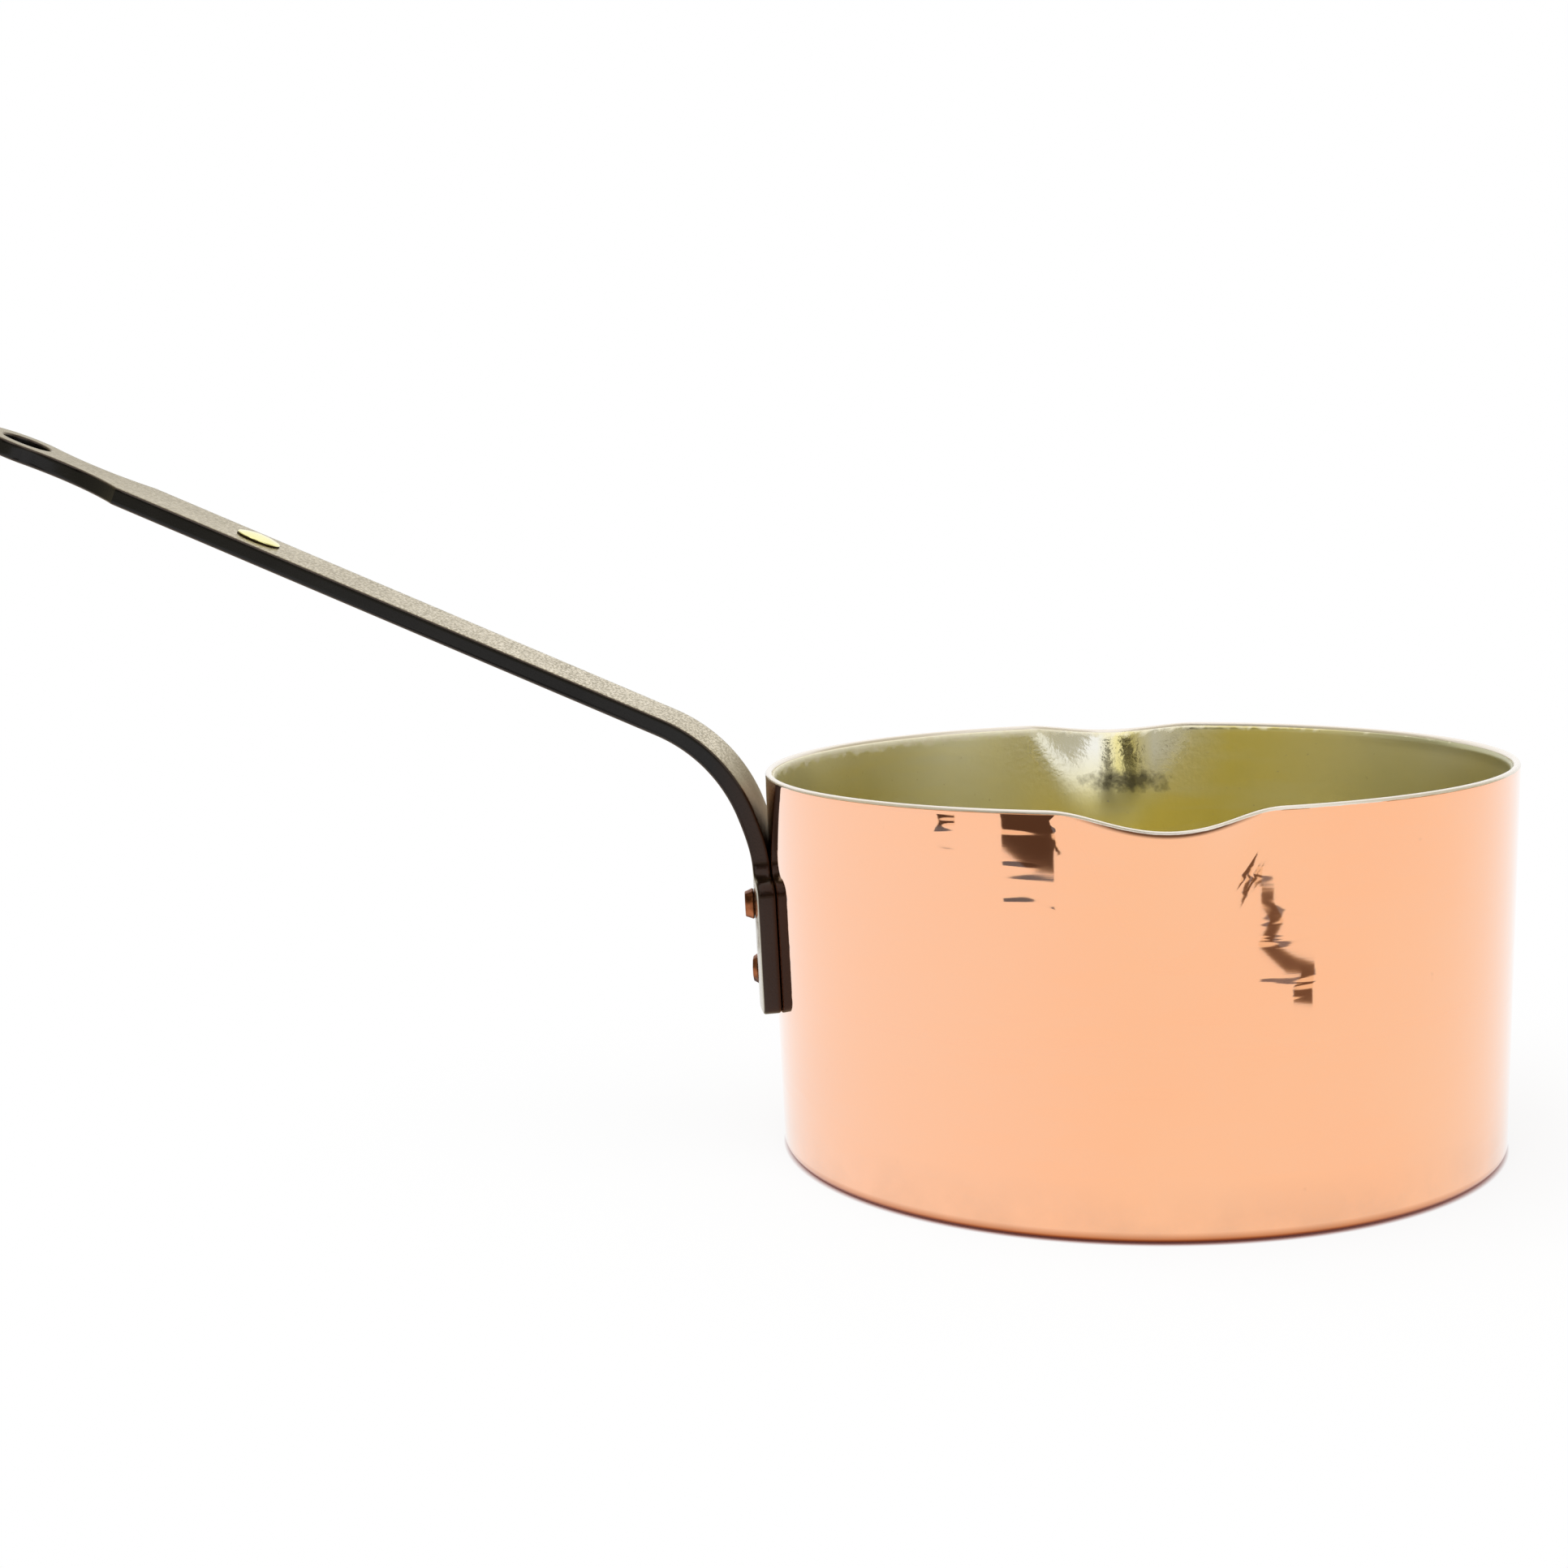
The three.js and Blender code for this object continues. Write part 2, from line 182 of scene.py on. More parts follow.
def feed(tree, made, feeds):
    """Feeds a node's inputs with sockets or values."""
    for socket, value in feeds.items():
        if isinstance(value, bpy.types.NodeSocket):
            tree.links.new(value, made.inputs[socket])
        else:
            made.inputs[socket].default_value = value


def node(tree, kind, feeds=None, **options):
    """Adds a node to a tree, sets its options and feeds its inputs."""
    made = tree.nodes.new(kind)
    for option, value in options.items():
        setattr(made, option, value)
    feed(tree, made, feeds or {})
    return made


def calc(tree, operation, *values, clamp=False):
    feeds = dict(enumerate(values))
    return node(tree, "ShaderNodeMath", feeds, operation=operation, use_clamp=clamp).outputs[0]


def ramp(tree, value, none, full):
    """Share from 0 to 1 of the way that a value has gone from the one bound to the other."""
    slope = 1 / (full - none)
    return calc(tree, "MULTIPLY_ADD", value, slope, -none * slope, clamp=True)


def noise(tree, vector, scale, detail):
    feeds = {"Vector": vector, "Scale": scale, "Detail": detail}
    return node(tree, "ShaderNodeTexNoise", feeds).outputs[0]


def axes_of(tree, vector):
    return node(tree, "ShaderNodeSeparateXYZ", {0: vector}).outputs


def stored(tree, attribute):
    """What was marked on the corners of a piece, in its material."""
    return node(tree, "ShaderNodeAttribute", attribute_name=attribute).outputs["Fac"]


def group_tree(name, kind, inputs, outputs):
    """An empty node group with these named sockets, and its two end nodes."""
    tree = bpy.data.node_groups.new(name, kind)
    for label, form, *start in inputs:
        socket = tree.interface.new_socket(label, in_out="INPUT", socket_type="NodeSocket" + form)
        if start:
            socket.default_value = start[0]
    for label, form in outputs:
        tree.interface.new_socket(label, in_out="OUTPUT", socket_type="NodeSocket" + form)
    return tree, node(tree, "NodeGroupInput").outputs, node(tree, "NodeGroupOutput")


def press_lips_tree():
    """Pushes the wall out in a bell at -Y and +Y that narrows and fades towards its root."""
    tree, size, out = group_tree(
        "press lips",
        "GeometryNodeTree",
        [("Geometry", "Geometry"), *[(name, "Float") for name in LIPS], ("Finish", "Material")],
        [("Geometry", "Geometry")],
    )
    place = node(tree, "GeometryNodeInputPosition").outputs[0]
    x, y, z = axes_of(tree, place)
    above_root = calc(tree, "ADD", calc(tree, "SUBTRACT", z, size["Pan Height"]), size["Depth"])
    growth = calc(tree, "DIVIDE", above_root, size["Depth"], clamp=True)
    widening = calc(tree, "SUBTRACT", size["Lip Width"], size["Root Width"])
    width = calc(tree, "MULTIPLY_ADD", widening, growth, size["Root Width"])
    turn = calc(tree, "ARCTAN2", calc(tree, "ABSOLUTE", x), calc(tree, "ABSOLUTE", y))
    along = calc(tree, "MULTIPLY", turn, size["Rim Radius"])
    share_of_bell = calc(tree, "DIVIDE", calc(tree, "MULTIPLY", along, 2.0), width, clamp=True)
    wave = calc(tree, "COSINE", calc(tree, "MULTIPLY", share_of_bell, math.pi))
    bell = calc(tree, "MULTIPLY_ADD", wave, 0.5, 0.5)
    share = calc(tree, "MULTIPLY", calc(tree, "MULTIPLY", growth, growth), bell)
    flat = node(tree, "ShaderNodeCombineXYZ", {0: x, 1: y}).outputs[0]
    outwards = node(tree, "ShaderNodeVectorMath", {0: flat}, operation="NORMALIZE").outputs[0]
    reach = calc(tree, "MULTIPLY", share, size["Reach"])
    pushed = node(
        tree, "ShaderNodeVectorMath", {0: outwards, "Scale": reach}, operation="SCALE"
    ).outputs[0]
    sunk = calc(tree, "MULTIPLY", calc(tree, "MULTIPLY", share, size["Drop"]), -1.0)
    lowered = node(tree, "ShaderNodeCombineXYZ", {2: sunk}).outputs[0]
    move = node(tree, "ShaderNodeVectorMath", {0: pushed, 1: lowered}, operation="ADD").outputs[0]
    pressed = node(
        tree, "GeometryNodeSetPosition", {"Geometry": size["Geometry"], "Offset": move}
    ).outputs[0]
    whole = node(tree, "GeometryNodeRealizeInstances", {0: pressed}).outputs[0]
    finished = node(
        tree, "GeometryNodeSetMaterial", {"Geometry": whole, "Material": size["Finish"]}
    ).outputs[0]
    feed(tree, out, {"Geometry": finished})
    return tree


def inside_face(inset, heights):
    """Profile of the pan's inner face, set in from the outer one, from the top to the axis."""
    corner = max(INSIDE_CORNER - (inset - COPPER), LEAST_CORNER)
    middle = wall_radius(inset + corner) - inset - corner
    wall = [(wall_radius(z) - inset, z) for z in reversed(heights)]
    floor = [(r, inset) for r in spread(middle, 0, 8)[1:]]
    return wall + arc(middle, inset + corner, corner, 0, -90, 8) + floor


def wall_heights(top):
    """Heights of the rings of the wall, close together where the lips are."""
    root = PAN_HEIGHT - LIPS["Depth"]
    return spread(WALL_START, root, 8)[:-1] + spread(root, top, 34)


def mix_colour(tree, factor, first, second):
    feeds = {0: factor, 6: first, 7: second}
    return node(tree, "ShaderNodeMix", feeds, data_type="RGBA").outputs[2]


def mottle_group():
    """Soft cloudy mask from 0 to 1, as handling and heat leave on bare metal."""
    tree, given, out = group_tree(
        "mottle",
        "ShaderNodeTree",
        [("Vector", "Vector"), ("Scale", "Float", 40.0), ("Contrast", "Float", 1.0)],
        [("Mask", "Float")],
    )
    cloud = noise(tree, given["Vector"], given["Scale"], 5.0)
    centred = calc(tree, "SUBTRACT", cloud, 0.5)
    spread_out = calc(tree, "MULTIPLY", centred, given["Contrast"])
    mask = calc(tree, "ADD", calc(tree, "MULTIPLY", spread_out, 2.0), 0.5, clamp=True)
    feed(tree, out, {"Mask": mask})
    return tree


def polish_lines_group():
    """Height of the fine level lines that a wheel or a wiping cloth leaves round a turned piece."""
    tree, given, out = group_tree(
        "polish lines",
        "ShaderNodeTree",
        [
            ("Vector", "Vector"),
            ("Across", "Float", 2500.0),
            ("Along", "Float", 12.0),
            ("Detail", "Float", 3.0),
        ],
        [("Height", "Float")],
    )
    x, y, z = axes_of(tree, given["Vector"])
    stretched = node(
        tree,
        "ShaderNodeCombineXYZ",
        {
            0: calc(tree, "MULTIPLY", x, given["Along"]),
            1: calc(tree, "MULTIPLY", y, given["Along"]),
            2: calc(tree, "MULTIPLY", z, given["Across"]),
        },
    ).outputs[0]
    feeds = {"Vector": stretched, "Scale": 1.0, "Detail": given["Detail"], "Roughness": 0.6}
    lines = node(tree, "ShaderNodeTexNoise", feeds).outputs[0]
    feed(tree, out, {"Height": lines})
    return tree


def tinned_over_group():
    """Turns a bare metal's colour and roughness into tin where the corners are marked tinned."""
    tree, given, out = group_tree(
        "tinned over",
        "ShaderNodeTree",
        [
            ("Vector", "Vector"),
            ("Bare Colour", "Color"),
            ("Bare Roughness", "Float", 0.1),
            ("Tin Colour", "Color"),
            ("Tin Roughness", "Float", 0.3),
        ],
        [("Colour", "Color"), ("Roughness", "Float")],
    )
    ragged = calc(tree, "SUBTRACT", noise(tree, given["Vector"], 420.0, 4.0), 0.5)
    edge = calc(tree, "MULTIPLY_ADD", ragged, 0.5, stored(tree, "tinned"))
    tin = ramp(tree, edge, 0.35, 0.6357)
    colour = mix_colour(tree, tin, given["Bare Colour"], given["Tin Colour"])
    rougher = calc(tree, "SUBTRACT", given["Tin Roughness"], given["Bare Roughness"])
    roughness = calc(tree, "MULTIPLY_ADD", rougher, tin, given["Bare Roughness"])
    feed(tree, out, {"Colour": colour, "Roughness": roughness})
    return tree


mottle = mottle_group()
polish_lines = polish_lines_group()
tinned_over = tinned_over_group()


def placed_group(tree, group, feeds):
    """Places a shader node group in a material with its own values."""
    return node(tree, "ShaderNodeGroup", feeds, node_tree=group).outputs


def clouds(tree, coords, scale, contrast):
    """The mottle group's mask at a place, as a material uses it."""
    feeds = {"Vector": coords, "Scale": scale, "Contrast": contrast}
    return placed_group(tree, mottle, feeds)["Mask"]


def new_material(name):
    """A material with a bare Principled shader, and where its patterns are placed from."""
    material = bpy.data.materials.new(name)
    material.use_nodes = True
    tree = material.node_tree
    shader = tree.nodes["Principled BSDF"]
    coords = node(tree, "ShaderNodeTexCoord").outputs["Object"]
    return material, tree, shader, coords


def bump(tree, height, distance, below=None):
    feeds = {"Strength": 1.0, "Distance": distance, "Height": height}
    if below is not None:
        feeds["Normal"] = below
    return node(tree, "ShaderNodeBump", feeds).outputs[0]


def aged_copper(tree, coords, cloud):
    """Colour of the polished wall: a painted highlight paler by the handle, darker in cloudy
    patches low down, with a few spots.
    """
    x, y, z = axes_of(tree, coords)
    bare = mix_colour(tree, cloud, (1.0, 0.465, 0.225, 1), (0.985, 0.49, 0.25, 1))
    # Painted highlight: the copper is painted paler towards the handle.
    painted_light_share = ramp(tree, x, PAINTED_LIGHT_FROM, PAINTED_LIGHT_TO)
    painted_lighter = mix_colour(tree, painted_light_share, bare, (1.0, 0.525, 0.315, 1))
    # Darker in cloudy patches low down.
    low = calc(tree, "MULTIPLY_ADD", z, -32.0, 0.4, clamp=True)
    low_patches = calc(tree, "MULTIPLY", low, clouds(tree, coords, 75.0, 2.0))
    dulled = mix_colour(tree, low_patches, painted_lighter, (0.66, 0.34, 0.19, 1))
    tarnish = ramp(tree, noise(tree, coords, 260.0, 6.0), 0.74, 0.99)
    return mix_colour(tree, tarnish, dulled, (0.72, 0.31, 0.15, 1))


def base_painted_shade(tree, coords):
    """How far the round of the base, and how far its lowest line, are painted dark as reflected
    contact shadow.
    """
    x, y, z = axes_of(tree, coords)
    flat = node(tree, "ShaderNodeCombineXYZ", {0: x, 1: y}).outputs[0]
    out = node(tree, "ShaderNodeVectorMath", {0: flat}, operation="LENGTH").outputs["Value"]
    at_edge = ramp(tree, out, HEEL_RADIUS, HEEL_RADIUS + HEEL_FADE)
    heel = calc(tree, "MULTIPLY", ramp(tree, z, HEEL_FROM, HEEL_TO), at_edge)
    lowest = calc(tree, "MULTIPLY", ramp(tree, z, DARK_FROM, DARK_TO), at_edge)
    return heel, lowest


def spun_ridges(tree, coords):
    """Height of the few level ridges that spinning leaves in the wall."""
    feeds = {0: coords, 1: (1.43, 0.77, 3.41)}
    shifted = node(tree, "ShaderNodeVectorMath", feeds, operation="ADD").outputs[0]
    wide = {"Vector": shifted, "Across": 210.0, "Along": 46.0, "Detail": 1.0}
    swell = placed_group(tree, polish_lines, wide)["Height"]
    raised = calc(tree, "MAXIMUM", calc(tree, "SUBTRACT", swell, 0.5), 0.0)
    return calc(tree, "POWER", raised, 2.0)


def polished_copper():
    material, tree, shader, coords = new_material("polished_copper")
    cloud = clouds(tree, coords, 22.0, 1.1)
    heel, lowest = base_painted_shade(tree, coords)
    # Painted shade: the heel and the lowest line are painted dark red-brown, as reflected contact
    # shadow.
    heel_shaded = mix_colour(tree, heel, aged_copper(tree, coords, cloud), (0.48, 0.125, 0.018, 1))
    low_tint = mix_colour(tree, lowest, heel_shaded, (0.20, 0.035, 0.012, 1))
    # Painted shade: a dark band is painted under the rim at the lips, with less coat there.
    drips = ramp(tree, stored(tree, "drips"), 0.341, 0.7955)
    covered = placed_group(
        tree,
        tinned_over,
        {
            "Vector": coords,
            "Bare Colour": mix_colour(tree, drips, low_tint, (0.16, 0.070, 0.034, 1)),
            "Bare Roughness": calc(tree, "MULTIPLY_ADD", cloud, 0.03, 0.025),
            "Tin Colour": (1.0, 0.92, 0.82, 1),
            "Tin Roughness": 0.45,
        },
    )
    spun = bump(tree, spun_ridges(tree, coords), 0.0009)
    lines = placed_group(tree, polish_lines, {"Vector": coords, "Across": 2600.0, "Along": 14.0})
    unshaded = calc(tree, "SUBTRACT", 1.0, drips)
    finish = {
        "Base Color": covered["Colour"],
        "Roughness": covered["Roughness"],
        "Metallic": 1.0,
        "Normal": bump(tree, lines["Height"], 0.0000006, spun),
        "Coat Weight": calc(tree, "SUBTRACT", unshaded, heel, clamp=True),
        "Coat Roughness": 0.025,
        "Coat IOR": 1.75,
    }
    feed(tree, shader, finish)
    return material


def rivet_places():
    """Node, place on the wall's outer face, height, side and head's height of each rivet."""
    places = []
    for name, side, height, head, spin in RIVETS:
        z = FOOT_BOTTOM + height * math.cos(WALL_LEAN)
        turn = Matrix.Rotation(side / wall_radius(z), 4, "Z")
        tilt = Matrix.Rotation(-WALL_LEAN - math.pi / 2, 4, "Y")
        seat = Matrix.Translation((-wall_radius(z), 0, z))
        spun = Matrix.Rotation(math.radians(spin), 4, "Z")
        places.append((name, turn @ seat @ tilt @ spun, height, side, head))
    return places


def wall_drills():
    """Round cutters through the wall, one for each rivet."""
    half = [(0, DRILL_REACH), (RIVET_HOLE, DRILL_REACH)]
    corners, faces = turned([(r, -z) for r, z in half] + half[::-1], DRILL_FACETS)
    return [
        new_piece("drill", [seat @ Vector(c) for c in corners], faces)
        for name, seat, *rest in rivet_places()
    ]


def under_rim_shade_share(place):
    """How far the outer face of the wall is painted with dark shade, just below the middle of a
    lip.
    """
    x, y, z = place
    if math.hypot(x, y) <= wall_radius(z) - SKIN:
        return 0.0
    near_rim = min(max((z - PAN_HEIGHT + UNDER_RIM_LINE) / UNDER_RIM_FADE, 0), 1)
    reach = LIPS["Lip Width"] / 2 / RIM_RADIUS
    off_middle = min(math.atan2(abs(x), abs(y)) / reach, 1)
    return near_rim * math.cos(off_middle * math.pi / 2)


def pan_body():
    rim = COPPER / 2
    corner_x = wall_radius(BASE_CORNER) - BASE_CORNER
    heights = wall_heights(PAN_HEIGHT - rim)
    underside = [(r, 0) for r in spread(0, corner_x, 8)[:-1]]
    corner = arc(corner_x, BASE_CORNER, BASE_CORNER, -90, 0, 10)
    wall = [(wall_radius(z), z) for z in heights]
    top = arc(RIM_RADIUS - rim, PAN_HEIGHT - rim, rim, 18, 162, 8)
    inside = inside_face(COPPER, heights)
    body = new_piece("copper_pan", *turned(underside + corner + wall + top + inside, PAN_FACETS))
    bare_rings, tinned_rings = len(underside + corner + wall) - 1, len(top + inside) - 2
    tinned = [0.0] * bare_rings + [RIM_EDGE_TINNED] + [1.0] * tinned_rings
    mark(body, "tinned", [share for share in tinned for i in range(PAN_FACETS)] + [0.0, 1.0])
    mark(body, "drips", [under_rim_shade_share(point.co) for point in body.data.vertices])
    return body


press_lips = press_lips_tree()
body = pan_body()
shape_by(body, press_lips, {**LIPS, "Finish": polished_copper()})
cut_away(body, wall_drills())
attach(body, "root")
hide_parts("pan_body")


# ---- Tin lining ----------------------------------------------------------------------------
# Layer of tin, melted over the inside and wiped round with a wad of cotton, which leaves soft
# streaks. It follows the copper into the lips and feathers out on the round of the rim.

TIN = 0.0004
LINING_GAP = 0.0002
TIN_SEAT_GAP = 0.00003
BARE_RIM = 0.0008
FEATHERED = 0.0012
# Depth of the band by the rim: worn bare in places, and painted grey as shade towards the far end.
WORN_AND_SHADED_EDGE = 0.0034
YELLOW_MIDDLE = 0.018
PATCH_MIDDLE = 0.004
PATCH_HEIGHT = 0.0675
PATCH_REACH = 0.012
PATCH_RISE = 0.003
LIP_EDGE, LIP_MIDDLE = 0.02909, 0.01091
CRINKLED_FROM, CRINKLED_TO = 0.06143, 0.07571
FAR_END_FROM, FAR_END_TO = 0.05273, 0.07091


def tin_hue(tree, coords, wiping, specks, cloud):
    """Colour of the tin: its yellow is a painted reflection of the copper's warm hue, yellowest
    beside the middle of the lips; streaked by wiping, speckled.
    """
    x, y, z = axes_of(tree, coords)
    aside = calc(tree, "ABSOLUTE", calc(tree, "SUBTRACT", x, YELLOW_MIDDLE))
    middle = calc(tree, "MULTIPLY_ADD", aside, -17.0, 1.0)
    uneven = calc(tree, "SUBTRACT", cloud, 0.5)
    # Painted reflection: the tin is painted yellow beside the middle of the lips, for the copper's
    # warm hue.
    yellowed = calc(tree, "MULTIPLY_ADD", uneven, 0.5, middle, clamp=True)
    hue = mix_colour(tree, yellowed, (0.89, 0.865, 0.66, 1), (0.94, 0.81, 0.26, 1))
    streaked = mix_colour(tree, ramp(tree, wiping, 0.5, 0.8333), hue, (0.94, 0.88, 0.55, 1))
    return mix_colour(tree, ramp(tree, specks, 0.71, 0.8529), streaked, (0.60, 0.54, 0.36, 1))


def pressed_share(tree, coords):
    """1 in the upper part of the lips, where pressing has crinkled the tin, and 0 elsewhere."""
    x, y, z = axes_of(tree, coords)
    in_lip = ramp(tree, calc(tree, "ABSOLUTE", x), LIP_EDGE, LIP_MIDDLE)
    return calc(tree, "MULTIPLY", in_lip, ramp(tree, z, CRINKLED_FROM, CRINKLED_TO))


def brown_patch_share(tree, coords, ragged):
    """Ragged dark patch low in the rear lip."""
    x, y, z = axes_of(tree, coords)
    off = []
    for place, middle, reach in [(x, PATCH_MIDDLE, PATCH_REACH), (z, PATCH_HEIGHT, PATCH_RISE)]:
        share = calc(tree, "DIVIDE", calc(tree, "SUBTRACT", place, middle), reach)
        off.append(calc(tree, "POWER", share, 2.0))
    torn = calc(tree, "MULTIPLY_ADD", ragged, 0.9, 0.6)
    patch = calc(tree, "SUBTRACT", torn, calc(tree, "ADD", *off), clamp=True)
    rear = ramp(tree, y, 0.0, 0.01667)
    return calc(tree, "MULTIPLY", calc(tree, "MULTIPLY", patch, 0.85), rear)


def wiped_tin():
    material, tree, shader, coords = new_material("wiped_tin")
    cloud = clouds(tree, coords, 16.0, 1.3)
    specks = noise(tree, coords, 700.0, 2.0)
    ragged = clouds(tree, coords, 420.0, 1.6)
    wide = {"Vector": coords, "Across": 120.0, "Along": 20.0, "Detail": 2.0}
    wiping = placed_group(tree, polish_lines, wide)["Height"]
    x, y, z = axes_of(tree, coords)

    pressed = pressed_share(tree, coords)
    # Painted highlight: the flanks of the crinkled lips are painted near-white.
    off_middle = calc(tree, "ABSOLUTE", calc(tree, "SUBTRACT", x, PATCH_MIDDLE))
    flanks = calc(tree, "MULTIPLY", pressed, ramp(tree, off_middle, 0.002, 0.007))
    hue = tin_hue(tree, coords, wiping, specks, cloud)
    painted_flank_highlight = mix_colour(tree, flanks, hue, (0.92, 0.905, 0.82, 1))
    brown_patch = brown_patch_share(tree, coords, ragged)
    patched = mix_colour(tree, brown_patch, painted_flank_highlight, (0.17, 0.15, 0.09, 1))
    by_rim = stored(tree, "rubbed")
    # Painted shade: the band by the rim is painted grey towards the far end, where its bright
    # reflection fades.
    far_end = ramp(tree, x, FAR_END_FROM, FAR_END_TO)
    greyed = calc(tree, "MULTIPLY", calc(tree, "MULTIPLY", by_rim, 1.3, clamp=True), far_end)
    darkened = mix_colour(tree, greyed, patched, (0.48, 0.46, 0.27, 1))
    used = calc(tree, "MULTIPLY_ADD", calc(tree, "SUBTRACT", ragged, 0.5), 0.5, by_rim)
    kept = calc(tree, "MAXIMUM", calc(tree, "MULTIPLY_ADD", x, 6.5, 0.60), 0.42)
    bared = calc(tree, "MULTIPLY", calc(tree, "SUBTRACT", used, kept), 2.6, clamp=True)
    chafed = mix_colour(tree, specks, (0.97, 0.93, 0.74, 1), (0.82, 0.74, 0.52, 1))

    smooth = calc(tree, "MULTIPLY_ADD", cloud, 0.08, 0.285)
    bright = calc(tree, "MULTIPLY_ADD", pressed, -0.12, smooth)
    crinkles = calc(tree, "MULTIPLY", specks, calc(tree, "MULTIPLY_ADD", pressed, 6.0, 1.0))
    finish = {
        "Base Color": mix_colour(tree, bared, darkened, chafed),
        "Roughness": calc(tree, "MULTIPLY_ADD", bared, 0.20, bright),
        "Metallic": calc(tree, "MULTIPLY_ADD", bared, -0.8, 1.0),
        "Normal": bump(tree, crinkles, 0.00002, bump(tree, wiping, 0.000015)),
    }
    feed(tree, shader, finish)
    return material


def tin_lining():
    near, far = COPPER + TIN_SEAT_GAP, COPPER + LINING_GAP + TIN
    top = PAN_HEIGHT - BARE_RIM
    outside = inside_face(near, wall_heights(top))[::-1]
    edge = []
    for a in spread(15, 75, 4):
        inset = near + (far - near) * math.sin(math.radians(a))
        z = top - FEATHERED * (1 - math.cos(math.radians(a)))
        edge.append((wall_radius(z) - inset, z))
    inside = inside_face(far, wall_heights(top - FEATHERED))
    lining = new_piece("tin_layer", *turned(outside + edge + inside, PAN_FACETS))
    below = [top - corner.co.z for corner in lining.data.vertices]
    mark(lining, "rubbed", [max(1 - depth / WORN_AND_SHADED_EDGE, 0.0) for depth in below])
    return lining


lining = tin_lining()
shape_by(lining, press_lips, {**LIPS, "Finish": wiped_tin()})
cut_away(lining, wall_drills())
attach(lining, "root")
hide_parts("tin_lining")


# ---- Handle --------------------------------------------------------------------------------
# One bar of iron: cut to its outline, drilled, its edges broken, then bent away from the wall,
# with the foot curved to lie on the copper. Dark from the forge, and paler on top from wear
# and a painted sheen.

THICK = 0.0038
EDGE = 0.0005
FOOT_WIDTH = 0.040
FOOT_HEIGHT = 0.0288
FOOT_CORNER = 0.0025
SHOULDER_ROUND = 0.0034
FOOT_GAP = 0.00005
BEND_START = FOOT_HEIGHT + 0.0022
BEND_RADIUS = 0.0365
RISE = math.radians(24.4)
BAR_LENGTH = 0.1549
BAR_WIDTH = 0.024
EYE = 0.010
EYE_HOLE = 0.0052
WAIST = 0.0073
SCALLOP = 0.022
DISC_FROM_EYE = 0.056
RECESS_RADIUS = 0.00484
RECESS_DEPTH = 0.0005
EYE_FACETS = 72
GRIP_MIDDLE = -0.122
GRIP_REACH = 0.13
LOW_TINT_FROM, LOW_TINT_TO = -0.091, -0.081

bend_turn = math.pi / 2 - WALL_LEAN - RISE
bend_end = BEND_START + BEND_RADIUS * bend_turn
eye_at = bend_end + BAR_LENGTH
scallop_side = WAIST + SCALLOP
waist_to_eye = math.sqrt((SCALLOP + EYE) ** 2 - scallop_side**2)
waist_at = eye_at - waist_to_eye
scallop_depth = BAR_WIDTH / 2 - WAIST
scallop_at = waist_at - math.sqrt(SCALLOP**2 - (SCALLOP - scallop_depth) ** 2)


def bar_path(length):
    """Upper face of the bar: distance out from the pan's axis, height and slope at a length."""
    start = math.pi / 2 - WALL_LEAN
    on_wall = min(length, BEND_START)
    slope = start - min(max((length - BEND_START) / BEND_RADIUS, 0), bend_turn)
    beyond = max(length - bend_end, 0)
    out = wall_radius(FOOT_BOTTOM) + FOOT_GAP + on_wall * math.cos(start)
    out += BEND_RADIUS * (math.sin(start) - math.sin(slope)) + beyond * math.cos(slope)
    up = FOOT_BOTTOM + on_wall * math.sin(start)
    up += BEND_RADIUS * (math.cos(slope) - math.cos(start)) + beyond * math.sin(slope)
    return out, up, slope


def bend(point):
    """Carries a point of the flat bar (length, side, depth below the upper face) to its place."""
    length, side, depth = point
    out, up, slope = bar_path(length)
    t = min(max((length - FOOT_HEIGHT) / (BEND_START + BEND_RADIUS / 3 - FOOT_HEIGHT), 0), 1)
    curve = max(1 - t * t * (3 - 2 * t), 1e-4) / out
    swung = curve * side
    away = (1 / curve + depth) * math.cos(swung) - 1 / curve
    y = (1 / curve + depth) * math.sin(swung)
    return (-(out + away * math.sin(slope)), y, up - away * math.cos(slope))


def bar_outline():
    """One side of the flat bar as (length, half width, outward direction), foot to eye."""
    line = []
    half = FOOT_WIDTH / 2
    step = (FOOT_WIDTH - BAR_WIDTH) / 4
    for a in spread(0, math.pi / 2, 8):
        s, c = math.sin(a), math.cos(a)
        line.append((FOOT_CORNER * (1 - c), half - FOOT_CORNER * (1 - s), -c, s))
    for x in spread(FOOT_CORNER, FOOT_HEIGHT - SHOULDER_ROUND, 14)[1:-1]:
        line.append((x, half, 0, 1))
    rising, falling = spread(0, math.pi / 2, 10), spread(math.pi / 2, 0, 10)[1:]
    for a, way in [(a, -1) for a in rising] + [(a, 1) for a in falling]:
        s, c = math.sin(a), math.cos(a)
        nx, ny = s * step, c * SHOULDER_ROUND
        size = math.hypot(nx, ny)
        x = FOOT_HEIGHT + way * SHOULDER_ROUND * (1 - s)
        line.append((x, half - step * (1 + way * c), nx / size, ny / size))
    after = FOOT_HEIGHT + SHOULDER_ROUND
    for x in spread(after, bend_end, 48)[1:] + spread(bend_end, scallop_at, 56)[1:]:
        line.append((x, BAR_WIDTH / 2, 0, 1))
    first = math.asin((scallop_at - waist_at) / SCALLOP)
    last = math.asin(waist_to_eye / (SCALLOP + EYE))
    for a in spread(first, last, 34)[1:]:
        s, c = math.sin(a), math.cos(a)
        line.append((waist_at + SCALLOP * s, scallop_side - SCALLOP * c, -s, c))
    for a in spread(-last, math.pi / 2, 40)[1:]:
        line.append((eye_at + EYE * math.sin(a), EYE * math.cos(a), math.sin(a), math.cos(a)))
    return line


